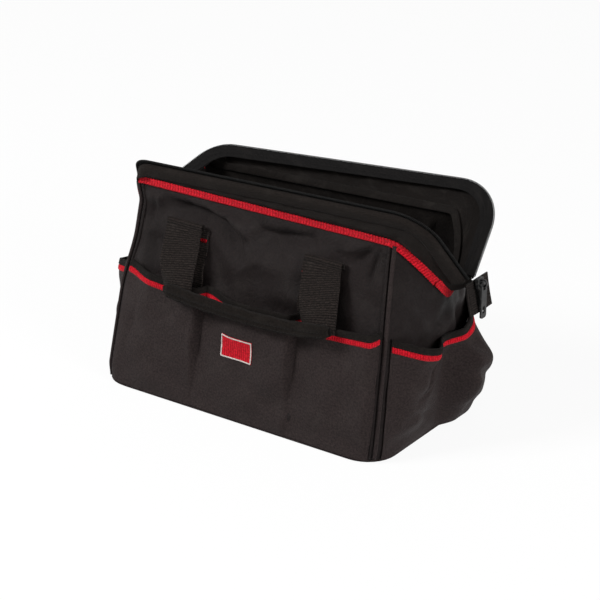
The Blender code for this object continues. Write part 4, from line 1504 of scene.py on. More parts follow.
@dataclass
class Pockets:
    """The gathered outer pockets with their bindings, red tapes and the label."""

    form: BagForm
    finishes: Finishes
    stitching: Stitching = field(default_factory=lambda: Stitching(0.0030, 0.0022, 0.00026))
    long_pocket: PocketForm = PocketForm(
        (0.011, 0.012, 0.012), 0.1115, 0.002, slopes=(0.40, 0.06), cell_dip=0.0003, dividers=(0.335, 0.705)
    )
    end_pockets: dict[int, PocketForm] = field(
        default_factory=lambda: {
            -1: PocketForm((0.015, 0.015), 0.106, 0.013, (0.003, 0.005)),
            1: PocketForm(
                (0.015, 0.008), 0.105, 0.013, (0.002, 0.027), 0.66, (0.55, 0.19),
                slopes=(0.34, 0.46), corner_rise=(0.0, 0.004),
            ),
        }
    )
    long_columns: int = 210
    end_columns: int = 130
    levels: int = 70
    binding_height: float = 0.0048
    binding_thickness: float = 0.0008
    # The binding's rows: how far below the edge, and how far out in thicknesses of the pocket and of the tape
    binding_fold: tuple[tuple[float, float, float], ...] = (
        (0.0048, 1.0, 0.95), (0.0038, 1.0, 1.1), (0.0026, 1.0, 1.15), (0.0014, 1.0, 1.1),
        (0.0004, 1.0, 1.0), (-0.0007, 1.0, 0.55), (-0.0011, 0.5, 0.0), (-0.0007, 0.0, -0.55),
        (0.0004, 0.0, -1.0), (0.002, 0.0, -1.0), (0.0045, 0.0, -1.0),
    )
    # The binding's sheet and the stand of its stitches, in thicknesses of the tape
    binding_layer: float = 0.8
    binding_stitch_rise: float = 0.0011
    binding_stitch_stand: float = 1.15
    tape_ends: Flat = (0.004, 0.996)
    tape_drop: float = 0.0001
    tape_height: float = 0.0050
    tape_thickness: float = 0.0006
    tape_gap: float = 0.0002
    tape_crown: float = 0.0007
    tape_steps: int = 6
    rib_rise: float = 0.00013
    rib_pitch: float = 0.0021
    label_size: Flat = (0.034, 0.0205)
    label_height: float = 0.068
    label_thickness: float = 0.0006
    label_gap: float = 0.0002
    label_soft_edge: float = 0.05
    # How far inside the label's edge its border runs: a share of the pocket's length, and in metres
    border_inset: Flat = (0.0007 / 0.29, 0.0007)
    border_size: Flat = (0.0013, 0.0006)
    long_folds: tuple[Crease | Rumple, ...] = (
        Crease(((-0.120, 0.090), (-0.128, 0.060), (-0.132, 0.030)), -0.0012, 0.0040, 0.0040),
        Crease(((-0.066, 0.094), (-0.078, 0.080), (-0.096, 0.072)), -0.0010, 0.0030, 0.0050),
        Rumple(41, 0.0024, 0.020, 0.075),
    )
    end_folds: tuple[Crease | Rumple, ...] = (
        Crease(((-0.004, 0.093), (-0.024, 0.080), (-0.036, 0.064), (-0.040, 0.050)), -0.0056, 0.0034, 0.0070),
        Crease(((-0.004, 0.088), (-0.014, 0.066), (-0.034, 0.050), (-0.052, 0.048)), -0.0036, 0.0030, 0.0060),
        Crease(((0.004, 0.092), (0.024, 0.082), (0.044, 0.074), (0.060, 0.074)), -0.0030, 0.0070, 0.0050),
        Crease(((0.004, 0.080), (0.020, 0.060), (0.044, 0.048), (0.062, 0.046)), -0.0026, 0.0065, 0.0050),
        Crease(((-0.066, 0.030), (-0.044, 0.034), (-0.020, 0.026), (-0.004, 0.016)), -0.0032, 0.0050, 0.0050),
        Crease(((0.006, 0.020), (0.028, 0.030), (0.056, 0.026)), 0.0014, 0.0060, 0.0060),
        Rumple(43, 0.0028, 0.022, 0.060),
    )

    def build(self) -> None:
        """Builds the pocket on each wall, then the label."""
        for side in SIDES:
            shape = PocketShape(Wall(self.form, side=side), self.long_pocket, self.long_folds)
            self._pocket(shape, self.long_columns)
        for end in ENDS:
            shape = PocketShape(Wall(self.form, end=end), self.end_pockets[end], self.end_folds)
            self._pocket(shape, self.end_columns)
        self._label(PocketShape(Wall(self.form, side=-1), self.long_pocket, self.long_folds))

    def _pocket(self, shape: PocketShape, columns: int) -> None:
        """One pocket: its gathered fabric, the binding over its top edge and the red tape below that.

        Args:
            shape: the pocket's surface.
            columns: how many points it has along its wall.
        """
        name, thickness = shape.wall.name, shape.form.thickness
        places = np.linspace(0, 1, columns)
        floor = self.form.base_thickness + self.form.gap
        place, share = np.meshgrid(places, np.linspace(0, 1, self.levels))
        height = floor + (shape.top(place) - floor) * share
        points = shape.point(place, height, thickness)
        sheet = cloth(f"{name}_pocket_cloth", points, thickness, shape.wall.outward)
        skins = (self.finishes.fabric, self.finishes.lining)
        settle(sheet, Rides.BODY, skins, (f"{name}_pocket",))
        self._binding(shape, places)
        self._tape(shape, places)

    def _binding(self, shape: PocketShape, places: Array) -> None:
        """A folded tape over the pocket's top edge, with a row of stitches.

        Args:
            shape: the pocket's surface.
            places: the places of its points along the pocket, from 0 to 1.
        """
        name, thick, wrap = shape.wall.name, shape.form.thickness, self.binding_thickness
        rows = []
        for drop, under, over in self.binding_fold:
            off = np.full(places.shape, under * thick + over * wrap)
            rows.append(shape.point(places, shape.top(places) - drop, off))
        points = np.array(rows)
        outward = points - points.mean(axis=0)
        binding = cloth(f"{name}_pocket_binding", points, wrap * self.binding_layer, outward)
        skins = (self.finishes.binding, self.finishes.binding)
        settle(binding, Rides.BODY, skins, (f"{name}_pocket_hem",))
        height = shape.top(places) - self.binding_height + self.binding_stitch_rise
        rows = [self._line_on(shape, places, height, thick + wrap * self.binding_stitch_stand)]
        self.stitching.sew(f"{name}_pocket_stitches", rows, Rides.BODY, self.finishes.thread)

    def _line_on(self, shape: PocketShape, places: Array, height: Array, off: float) -> tuple[Array, Array]:
        """A line that lies over a pocket.

        Args:
            shape: the pocket's surface.
            places: the places of its points along the pocket, from 0 to 1.
            height: how high above the ground each point is.
            off: how far off the pocket's inner face.

        Returns:
            The line's points and the directions out of the pocket there.
        """
        line = shape.point(places, height, np.full(places.shape, off))
        return line, unit(line - shape.point(places, height, np.zeros(places.shape)))

    def _tape(self, shape: PocketShape, places: Array) -> None:
        """The red ribbed tape under the binding.

        Args:
            shape: the pocket's surface.
            places: the places of its points along the pocket, from 0 to 1.
        """
        name = shape.wall.name
        fine = np.linspace(*self.tape_ends, 5 * len(places))
        top = self.binding_height + self.tape_drop
        drops = np.linspace(top + self.tape_height, top, self.tape_steps + 1)
        run = (fine - 0.5) * shape.wall.foot.length
        rib = self.rib_rise * np.cos(2 * math.pi * run / self.rib_pitch)
        rows = []
        for step, drop in enumerate(drops):
            crown = self.tape_crown * (1 - (2 * step / self.tape_steps - 1) ** 4)
            off = shape.form.thickness + self.tape_gap + crown + rib
            wave = rib if step in (0, self.tape_steps) else 0
            rows.append(shape.point(fine, shape.top(fine) - drop + wave, off))
        tape = cloth(f"{name}_pocket_tape", np.array(rows), self.tape_thickness, shape.wall.outward)
        skins = (self.finishes.red, self.finishes.red)
        settle(tape, Rides.BODY, skins, (f"{name}_pocket_red_tape",))

    def _label(self, shape: PocketShape) -> None:
        """A plain red woven patch with a pale border, stitched to the front pocket.

        Args:
            shape: the front pocket's surface.
        """
        long, tall = self.label_size
        middle, base = self.label_height, shape.form.thickness
        half_place = long / 2 / (shape.wall.foot.length * (1 - 2 * shape.edge))
        place, height = np.meshgrid(
            np.linspace(0.5 - half_place, 0.5 + half_place, 40),
            np.linspace(middle - tall / 2, middle + tall / 2, 28),
        )
        to_side = 1 - np.abs(place - 0.5) / half_place
        to_top = (1 - np.abs(height - middle) / (tall / 2)) * tall / long
        raised = self.label_thickness * smooth(np.minimum(to_side, to_top) / self.label_soft_edge)
        points = shape.point(place, height, base + self.label_gap + raised)
        patch = cloth("label_cloth", points, self.label_thickness, shape.wall.outward)
        settle(patch, Rides.BODY, (self.finishes.red, self.finishes.red), ("label_patch",))
        inset_place, inset = self.border_inset
        corners = [(-1, -1), (1, -1), (1, 1), (-1, 1), (-1, -1)]
        mix = np.linspace(0, 1, 40)[:-1, None]
        loop = [np.array(a) * (1 - mix) + np.array(b) * mix for a, b in zip(corners, corners[1:])]
        loop = np.concatenate([*loop, loop[0][:1]])
        places = 0.5 + (half_place - inset_place) * loop[:, 0]
        heights = middle + (tall / 2 - inset) * loop[:, 1]
        line, outs = self._line_on(shape, places, heights, base + self.label_gap + self.label_thickness)
        across = unit(np.cross(np.gradient(line, axis=0), outs))
        border = swept("label_border", line, across, outs, oval(*self.border_size, 8), caps=False)
        settle(border, Rides.BODY, (self.finishes.border,), ())


@dataclass
class Mouth:
    """The wired rims, their fabric bands, zip tapes, coils, the red seam and the gussets between the rims."""

    form: BagForm
    finishes: Finishes
    stitching: Stitching = field(default_factory=Stitching)
    hem_inset: float = 0.006
    hem_lift: float = 0.0044
    wire_radius: float = 0.0015
    tape_edges: Flat = (0.0012, 0.0124)
    coil_inset: float = 0.0013
    coil_lift: float = 0.0016
    coil_radius: float = 0.00095
    coil_pitch: float = 0.0014
    seam_width: float = 0.0068
    seam_thickness: float = 0.0026
    seam_stand: float = 0.0010
    rib_pitch: float = 0.0029
    rib_rise: float = 0.09
    hem_outline: tuple[Flat, ...] = (
        (0.0088, 0.0020), (0.0087, 0.0027), (0.0062, 0.0030), (0.0036, 0.0031), (0.0015, 0.0033),
        (-0.0005, 0.0031), (-0.0021, 0.0023), (-0.0030, 0.0008), (-0.0031, -0.0008), (-0.0023, -0.0022),
        (-0.0008, -0.0030), (0.0010, -0.0031), (0.0026, -0.0024), (0.0032, -0.0010), (0.0030, 0.0005),
        (0.0034, 0.0014), (0.0060, 0.0018), (0.0080, 0.0019),
    )
    # How far under the wire the hem's stitches run, and how far out
    hem_stitches: Flat = (0.0070, 0.0029)
    band_thickness: float = 0.0013
    band_stand: float = 0.0015
    band_swell: float = 0.10
    band_rows: int = 26
    # Which of the band's rows of points are stitched
    stitch_rows: dict[str, int] = field(default_factory=lambda: {"low": 3, "high": 22})
    # Over how many points the band's swell grows from each end
    end_steps: int = 18
    # The inner binding's width and thickness, and how far behind and above the seam it runs
    inner_binding: Flat = (0.0070, 0.0012)
    inner_binding_place: Flat = (0.0026, 0.0004)
    stitch_stand: float = 0.0001
    # How far past the zip tape's middle its stitches run, and how high
    tape_stitches: Flat = (0.0012, 0.0004)
    leg_margin: float = 0.0004
    # How much the walls' directions point up, at the ends and at the sides
    wall_rise: Flat = (0.1, 0.2)
    # The most that the seam tape bends over the seam, half of it, in radians
    most_turn: float = 0.5
    # How often the seam tape's line, bow and directions are softened
    line_passes: int = 10
    bow_passes: int = 20
    wall_passes: int = 30
    lean_passes: int = 40
    zip_thickness: float = 0.0007
    coil_wire: float = 0.00070
    coil_steps: int = 9
    zip_legs: dict[str, int] = field(default_factory=lambda: {"leg": 60, "top": 220})
    rib_step: float = 0.00045
    rib_slant: float = 0.9
    dip_points: int = 60
    dip_bow: float = 0.0022
    # How far the dip's tape leans to the sides and up
    dip_lean: Flat = (4.0, -0.50)
    dip_binding: Flat = (0.0090, 0.0014)
    dip_binding_depth: float = 0.0022
    # The roundness of the ribbed tape's outline, and how steeply its edges bow out
    crown_powers: Flat = (0.85, 1.4)
    # The coil's width and height, in its radius
    coil_oval: Flat = (1.15, 0.9)
    # How high the zip tape's edge lies, and how much lower each next row
    tape_lifts: Flat = (0.0010, 0.0002)
    # Where the band's swell starts and over what share it grows, the same for its folds, and their end
    swell_fades: tuple[Flat, Flat, float] = ((0.10, 0.3), (0.12, 0.25), 0.25)
    gusset_columns: int = 24
    gusset_rows: int = 22
    # How far the gusset sags out and up
    gusset_sag: Flat = (0.003, -0.0015)
    gusset_pleat: float = 0.0011
    band_folds: tuple[Crease | Rumple, ...] = (
        Crease(((0.118, 0.002), (0.126, 0.014), (0.130, 0.024)), -0.0012, 0.0040, 0.0040),
        Crease(((-0.128, 0.003), (-0.138, 0.010), (-0.146, 0.018)), -0.0010, 0.0030, 0.0040),
        Rumple(61, 0.0009, 0.018, 0.070),
    )

    def build(self) -> None:
        """Builds both halves of the mouth, then the low point and the gusset at each end."""
        for side in SIDES:
            shape = JawShape(self.form, side)
            seam, wire = shape.seam(), shape.rim(self.hem_inset, self.hem_lift)
            along = unit(np.gradient(wire, axis=0))
            down = seam - wire
            down = unit(down - along * np.sum(down * along, axis=1, keepdims=True))
            outward = unit(np.cross(along, down))
            outward *= np.sign(outward @ shape.out)[:, None]
            self._band(side, seam, wire, outward)
            self._rim(side, wire, down, outward)
            self._zip_half(side, shape)
            self._seam_tape(side, seam, outward)
        for end in ENDS:
            self._dip(end)
            for side in SIDES:
                self._gusset(end, side)

    def _band(self, side: int, seam: Array, wire: Array, outward: Array) -> None:
        """The strip of fabric between the red seam and the rim, with the binding inside it.

        Args:
            side: which side.
            seam: points along the red seam.
            wire: points along the frame's wire, in step with the seam.
            outward: the direction out of the band at each point.
        """
        name = SIDES[side]
        top = wire + outward * self.band_stand
        share = np.linspace(0, 1, self.band_rows)[:, None]
        run = reaches(seam)
        run = np.broadcast_to(run - run[-1] / 2, (self.band_rows, len(seam)))
        tall = np.linalg.norm(top - seam, axis=1)
        slack = sum((fold.relief(run, share * tall) for fold in self.band_folds), np.zeros(run.shape))
        to_end = np.minimum(np.arange(len(seam)), np.arange(len(seam))[::-1]) / self.end_steps
        (start, rise), (slack_start, slack_rise), slack_fall = self.swell_fades
        swell = smooth((share - start) / rise) * (1 - share) * tall * self.band_swell
        slack = slack * smooth((share - slack_start) / slack_rise) * smooth((1 - share) / slack_fall)
        swell = swell + slack
        swell = swell * smooth(to_end)
        points = seam * (1 - share[..., None]) + top * share[..., None] + outward * swell[..., None]
        band = cloth(f"{name}_mouth_band", points, self.band_thickness, outward[None])
        skins = (self.finishes.band, self.finishes.lining)
        settle(band, MOUTH[side], skins, (f"{name}_band",))
        for part, row in self.stitch_rows.items():
            out = facing(points)[row]
            out *= np.sign(np.sum(out * outward, axis=1))[:, None]
            lines = [(points[row] + out * self.stitch_stand, out)]
            self.stitching.sew(f"{name}_band_stitches_{part}", lines, MOUTH[side], self.finishes.thread)
        behind, above = self.inner_binding_place
        inner = rounded(seam - outward * behind + UP * above, 12)
        across, out = ways_out(inner, -outward)
        binding = swept(f"{name}_inner_binding", inner, across, out, oval(*self.inner_binding, 12))
        settle(binding, MOUTH[side], (self.finishes.lining,), ())

    def _rim(self, side: int, wire: Array, down: Array, outward: Array) -> None:
        """The hem rolled round the frame's wire, with the wire in it and a row of stitches under it.

        Args:
            side: which side.
            wire: points along the frame's wire.
            down: the direction towards the seam at each point.
            outward: the direction out of the band at each point.
        """
        name = SIDES[side]
        hem = swept(f"{name}_rolled_hem", wire, down, outward, np.array(self.hem_outline))
        settle(hem, MOUTH[side], (self.finishes.band,), (f"{name}_frame_hem",))
        girth = 2 * self.wire_radius
        rod = swept(f"{name}_rim_wire", wire, down, outward, oval(girth, girth, 10))
        settle(rod, MOUTH[side], (self.finishes.steel,), (f"{name}_frame_wire",))
        below, off = self.hem_stitches
        rows = [(wire + down * below + outward * off, outward)]
        self.stitching.sew(f"{name}_hem_stitches", rows, MOUTH[side], self.finishes.thread)

    def _zip_half(self, side: int, shape: JawShape) -> None:
        """Half of the zip along a rim: its tape, its coil and a row of stitches.

        Args:
            side: which side.
            shape: the half of the mouth.
        """
        name, (near, far) = SIDES[side], self.tape_edges
        rows = []
        lift, fall = self.tape_lifts
        for step, inset in enumerate(np.linspace(near, far, 5)):
            rows.append(shape.rim(inset, lift - fall * step, **self.zip_legs))
        tape = cloth(f"{name}_zip_tape_cloth", np.array(rows), self.zip_thickness, -shape.out)
        settle(tape, MOUTH[side], (self.finishes.zip, self.finishes.zip), (f"{name}_zip_tape",))
        centre = Curve(rounded(shape.rim(self.coil_inset, self.coil_lift, **self.zip_legs), 6))
        coil = self.coil(f"{name}_zip_coil", centre, shape.out)
        settle(coil, MOUTH[side], (self.finishes.coil,), (f"{name}_zip_chain",))
        inset, lift = self.tape_stitches
        middle = shape.rim((near + far) / 2 + inset, lift, **self.zip_legs)
        lines = [(middle, np.broadcast_to(-shape.out, middle.shape))]
        self.stitching.sew(f"{name}_zip_tape_stitches", lines, MOUTH[side], self.finishes.thread)

    def coil(self, name: str, centre: Curve, outward: Array) -> bpy.types.Object:
        """A zip's coil.

        Args:
            name: the object's name.
            centre: the line that the coil winds about.
            outward: a direction square to that line.

        Returns:
            The object.
        """
        turns = round(centre.length / self.coil_pitch)
        share = np.linspace(0, 1, self.coil_steps * turns + 1)
        line = centre.at(share)
        along = unit(np.gradient(line, 3, axis=0))
        across = unit(np.cross(along, outward))
        out = np.cross(across, along)
        turn = (2 * math.pi * turns * share)[:, None]
        wide, tall = self.coil_oval
        ray = across * np.cos(turn) * wide + out * np.sin(turn) * tall
        path = line + ray * self.coil_radius
        first = unit(np.cross(np.gradient(path, axis=0), along))
        second = unit(np.cross(np.gradient(path, axis=0), first))
        return swept(name, path, first, second, oval(self.coil_wire, self.coil_wire, 6))

    def _seam_tape(self, side: int, seam: Array, outward: Array) -> None:
        """The red ribbed tape along the seam at one side, laid over the angle between the wall and the band.

        Args:
            side: which side.
            seam: points along the red seam.
            outward: the direction out of the band at each point.
        """
        legs = np.abs(seam[:, 1]) < self.form.seam_half_depth[side] - self.leg_margin
        at_end, at_side = self.wall_rise
        ends = np.sign(seam[:, :1]) * np.array([1.0, 0, 0]) + UP * at_end
        wall = rounded(unit(np.where(legs[:, None], ends, np.array([0, side, at_side]))), self.wall_passes)
        turn = np.arccos(np.clip(np.sum(unit(wall) * outward, axis=1), -1, 1))
        bow = self.seam_width / 2 * np.tan(np.minimum(turn / 2, self.most_turn))
        lean = rounded(unit(rounded(outward, self.lean_passes)) + unit(wall), self.lean_passes)
        name, line, bow = SIDES[side], rounded(seam, self.line_passes), rounded(bow, self.bow_passes)
        self._ribbed(f"{name}_seam_ribbed_tape", line, lean, bow, MOUTH[side], f"{name}_seam_tape")

    def _ribbed(self, name: str, line: Array, lean: Array, bow: Array, rides: Rides, node: str) -> None:
        """A ribbed tape with a crowned face along a line, its edges bowed out over the fabric on both sides.

        Args:
            name: the object's name.
            line: the points of its middle.
            lean: the direction that its face leans to at each point.
            bow: how far its edges stand out beyond its middle at each point.
            rides: what it moves with.
            node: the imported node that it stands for.
        """
        curve = Curve(line)
        share = np.linspace(0, 1, round(curve.length / self.rib_step))
        fine = curve.at(share)
        numbers = np.arange(len(line))
        place = np.interp(share * curve.length, curve.reach, numbers)
        across, outward = ways_out(fine, read_at(place, numbers, lean))
        half = self.seam_width / 2
        outline = oval(self.seam_width, self.seam_thickness, 16)
        crown, rim = self.crown_powers
        outline = np.sign(outline) * np.abs(outline / half) ** crown * half
        outline[:, 1] *= self.seam_thickness / 2 / outline[:, 1].max()
        slant = self.rib_slant * outline[:, 0] / self.seam_width
        ribs = np.cos(2 * math.pi * (share[:, None] * curve.length / self.rib_pitch + slant))
        rings = outline[None] * (1 - self.rib_rise * ribs)[..., None]
        raised = np.interp(place, numbers, bow)
        rings[..., 1] += raised[:, None] * np.abs(outline[:, 0] / half) ** rim
        tape = swept(name, fine + outward * self.seam_stand, across, outward, rings)
        settle(tape, rides, (self.finishes.seam,), (node,))

    def _dip_shares(self, end: int) -> Array:
        """The shares of the seam at an end that lie under the frames' line.

        Args:
            end: which end.

        Returns:
            The shares in order, from -1 to 1.
        """
        shares = np.linspace(-1, 1, 961)
        form = self.form
        axis = form.mouth_axis()
        up = np.array([-axis[2], 0, axis[0]])
        return shares[(form.dip(end, shares) - form.mouth_end(-1)) @ up <= 0]

    def _dip(self, end: int) -> None:
        """The red tape round the dip at one end.

        Args:
            end: which end.
        """
        shares, count = self._dip_shares(end), self.dip_points
        line = self.form.dip(end, np.linspace(shares[0], shares[-1], count))
        spread, fall = self.dip_lean
        lean = np.stack([np.full(count, float(end)), spread * line[:, 1], np.full(count, fall)], axis=-1)
        across, out = ways_out(line, lean)
        name, bow = ENDS[end], np.full(count, self.dip_bow)
        middle, node = line + out * self.seam_stand, f"{name}_seam_dip"
        self._ribbed(f"{name}_dip_ribbed_tape", middle, lean, bow, Rides.BODY, node)
        outline = oval(*self.dip_binding, 12)
        inner = line - out * self.dip_binding_depth
        binding = swept(f"{name}_dip_inner_binding", inner, across, out, outline)
        settle(binding, Rides.BODY, (self.finishes.lining,), ())

    def _gusset(self, end: int, side: int) -> None:
        """Half of the fabric between the two rims' legs at one end.

        Args:
            end: which end.
            side: which side.
        """
        shares = self._dip_shares(end)
        last = shares[0] if side < 0 else shares[-1]
        shape = JawShape(self.form, side)
        wire = shape.rim(self.hem_inset, self.hem_lift)[0 if end < 0 else -1]
        start = self.form.mouth_end(end)
        mix = np.linspace(0, 1, self.gusset_columns)
        low = self.form.dip(end, np.linspace(0, last, self.gusset_columns))
        high = start + (wire + shape.out * self.band_stand - start) * mix[:, None]
        share = np.linspace(0, 1, self.gusset_rows)[:, None, None]
        column = mix[None, :, None]
        slack = 4 * share * (1 - share)
        out, down = self.gusset_sag
        sag = slack * np.array([end * out, 0.0, down])
        name, outward = ENDS[end], np.array([end, 0, 0.3])
        pleat = self.gusset_pleat * np.sin(3 * math.pi * column) * slack * outward
        points = low[None] * (1 - share) + high[None] * share + sag * (1 - column**3) + pleat
        gusset = cloth(f"{name}_gusset_{SIDES[side]}", points, self.band_thickness, outward)
        skins = (self.finishes.band, self.finishes.lining)
        settle(gusset, MOUTH[side], skins, (f"{name}_mouth_saddle",))


@dataclass
class Handles:
    """The two folded webbing handles with their sewn ends and red bar tacks."""

    form: BagForm
    finishes: Finishes
    shell: Shell
    stitching: Stitching = field(default_factory=lambda: Stitching(0.0034, 0.0026, 0.00030))
    width: float = 0.038
    thickness: float = 0.0016
    spacing: float = 0.146
    fold_height: float = 0.158
    fold_radius: float = 0.0022
    fold_depth: dict[int, float] = field(default_factory=lambda: {-1: 0.0543, 1: 0.0582})
    grip_depth: dict[int, float] = field(default_factory=lambda: {-1: 0.0868, 1: 0.0895})
    feet: dict[int, dict[int, float]] = field(
        default_factory=lambda: {-1: {-1: -0.064, 1: 0.086}, 1: {-1: -0.068, 1: 0.068}}
    )
    grip_height: float = 0.1040
    grip_sag: float = 0.0085
    grip_overhang: float = 0.0150
    grip_width: float = 0.0128
    grip_thickness: float = 0.0084
    foot_height: float = 0.092
    anchor_lap: float = 0.0006
    anchor_gap: float = 0.0003
    # The heights of the ends of the fold, behind and in front
    fold_legs: tuple[Flat, Flat] = ((-0.0035, -0.0018), (-0.0015, -0.003))
    strap_points: int = 60
    strap_lap: float = 0.002
    # Where the straps end, in the grip's sag, and how much that changes towards the right end
    strap_foot: Flat = (0.45, 0.15)
    strap_slack: float = 0.45
    # How far down the strap its tilt, its narrowing and its curl start
    tilt_from: float = 0.5
    narrow_from: float = 0.35
    curl_from: float = 0.45
    strap_tilt: float = 0.22
    strap_narrowing: float = 0.18
    strap_curl: float = 0.0062
    strap_ripple: float = 0.0006
    tack_height: float = 0.1470
    tack_reach: float = 0.0014
    tack_points: int = 84
    tack_share: float = 0.94
    tack_gap: float = 0.0007
    tack_size: Flat = (0.0011, 0.0007)
    grip_points: int = 150
    grip_left_share: float = 0.6
    grip_bend: float = 2.2
    grip_left_sag: float = 0.5
    grip_roundness: float = 0.75
    # How much thinner the grip's ends are, and over what share of half its length
    grip_taper: Flat = (0.45, 0.07)
    # The depth of the groove along the grip, its place and its width
    grip_groove: tuple[float, float, float] = (0.22, 0.25, 0.16)
    # The grip's unevenness: its rise, its pace along the grip and its turns round it
    grip_lumps: tuple[tuple[float, float, float], ...] = ((0.035, 190, 2), (0.025, 430, 1))
    grip_sewn: float = 0.92
    grip_stitch_stand: float = 0.46
    # Where its two rows of stitches run, in half widths from its middle
    stitch_rows: Flat = (0.55, -0.05)

    def build(self) -> None:
        """Builds both handles."""
        for side in SIDES:
            for end in ENDS:
                self._anchor(side, end)
                self._fold(side, end)
                self._strap(side, end)
            self._grip(side)

    def ribbon(self, count: int = 28) -> Array:
        """The outline of flat webbing, its edges a little rounded.

        Args:
            count: how many points it has.

        Returns:
            The outline's points.
        """
        turn = np.linspace(0, 2 * math.pi, count, endpoint=False)
        flat = np.stack([np.cos(turn), np.sin(turn)], axis=-1)
        flat = np.sign(flat) * np.abs(flat) ** np.array([0.45, 0.35])
        return flat * np.array([self.width / 2, self.thickness / 2])

    def _anchor(self, side: int, end: int) -> None:
        """One sewn end of the webbing, flat on the wall, with its bar tack.

        Args:
            side: which side.
            end: which end.
        """
        name, end_name = SIDES[side], ENDS[end]
        wall = Wall(self.form, side=side)
        half = self.width / 2 / wall.foot.length
        middle = 0.5 + end * self.spacing / 2 / wall.foot.length
        top = self.fold_height - self.fold_radius - self.thickness / 2 + self.anchor_lap
        across, up = np.linspace(middle - half, middle + half, 24), np.linspace(self.foot_height, top, 40)
        points = self._on_wall(wall, *np.meshgrid(across, up), self.thickness + self.anchor_gap)
        anchor = cloth(f"{name}_{end_name}_strap_end", points, self.thickness, wall.outward)
        skins = (self.finishes.webbing, self.finishes.webbing)
        settle(anchor, MOUTH[side], skins, (f"{name}_{end_name}_anchor",))
        half *= self.tack_share
        share = np.linspace(middle - half, middle + half, self.tack_points)
        height = self.tack_height + self.tack_reach * (np.arange(self.tack_points) % 2 * 2 - 1)
        line = self._on_wall(wall, share, height, self.thickness + self.tack_gap)
        across, out = ways_out(line, wall.outward)
        tack = swept(f"{name}_{end_name}_bar_tack", line, across, out, oval(*self.tack_size, 8))
        settle(tack, MOUTH[side], (self.finishes.red_thread,), ())

    def _on_wall(self, wall: Wall, share: Array, height: Array, off: float) -> Array:
        """Points over a wall and its folds.

        Args:
            wall: the wall.
            share: how far along it each point is, from 0 to 1.
            height: how high above the ground.
            off: how far off the wall.

        Returns:
            The points.
        """
        level = wall.level_at(share, height)
        return wall.point(share, level, self.shell.relief(wall, share, level) + off)

    def _fold(self, side: int, end: int) -> None:
        """The webbing where it folds over from the sewn end to the hanging strap.

        Args:
            side: which side.
            end: which end.
        """
        name, end_name = SIDES[side], ENDS[end]
        near, radius = self.fold_depth[side], self.fold_radius
        turn = np.radians(np.linspace(0, 180, 19))
        arc_line = np.stack([0 * turn, -radius * np.cos(turn), radius * np.sin(turn)], axis=-1)
        back, front = (
            np.array([[0, reach, rise] for rise in rises])
            for reach, rises in zip((-radius, radius), self.fold_legs)
        )
        line = np.concatenate([back, arc_line, front]) * np.array([1, side, 1])
        line = line + np.array([end * self.spacing / 2, side * near, self.fold_height])
        across = np.tile([1.0, 0.0, 0.0], (len(line), 1))
        along = unit(np.gradient(line, axis=0))
        out = np.cross(across, along)
        loop = swept(f"{name}_{end_name}_strap_fold", line, across, out, self.ribbon())
        loop.data.materials.append(self.finishes.webbing)
        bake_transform(loop)
        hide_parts(f"{name}_handle")
        log.info("%s bends between the body and its handle", loop.name)

    def _strap(self, side: int, end: int) -> None:
        """One hanging strap, flat at its fold and curled where it goes into the grip.

        Args:
            side: which side.
            end: which end.
        """
        name, end_name = SIDES[side], ENDS[end]
        ahead = side * (self.fold_depth[side] + self.fold_radius)
        top = np.array([end * self.spacing / 2, ahead, self.fold_height - self.strap_lap])
        level, more = self.strap_foot
        low = self.grip_height + self.grip_sag * (level + more * end)
        foot = np.array([self.feet[side][end], side * self.grip_depth[side], low])
        drop = np.linspace(0, 1, self.strap_points)[:, None]
        across_share = smooth(drop)
        out_share = (1 - self.strap_slack) * drop + self.strap_slack * smooth(drop)
        line = top + (foot - top) * np.concatenate([across_share, out_share, drop], axis=1)
        tilt, narrowing, curl = (
            most * smooth((drop - start) / (1 - start))
            for most, start in (
                (-self.strap_tilt * end, self.tilt_from),
                (self.strap_narrowing, self.narrow_from),
                (self.strap_curl, self.curl_from),
            )
        )
        aim = unit(np.array([1.0, 0.0, 0.0]) + UP * tilt)
        along = unit(np.gradient(line, axis=0))
        out = unit(np.cross(aim, along))
        out *= np.sign(out[:, 1] * side)[:, None]
        square = np.cross(out, along)
        aim = unit(square) * np.sign(np.sum(square * aim, axis=1))[:, None]
        flat = self.ribbon()
        ripple = self.strap_ripple * np.sin(math.pi * drop * 3) * flat[:, 0] / self.width
        rings = np.empty((len(line), *flat.shape))
        rings[..., 0] = flat[:, 0] * (1 - narrowing)
        rings[..., 1] = flat[:, 1] - curl * (flat[:, 0] / (self.width / 2)) ** 2 + ripple
        strap = swept(f"{name}_{end_name}_strap", line, aim, out, rings)
        settle(strap, HANDLE[side], (self.finishes.webbing,), (f"{name}_handle",))

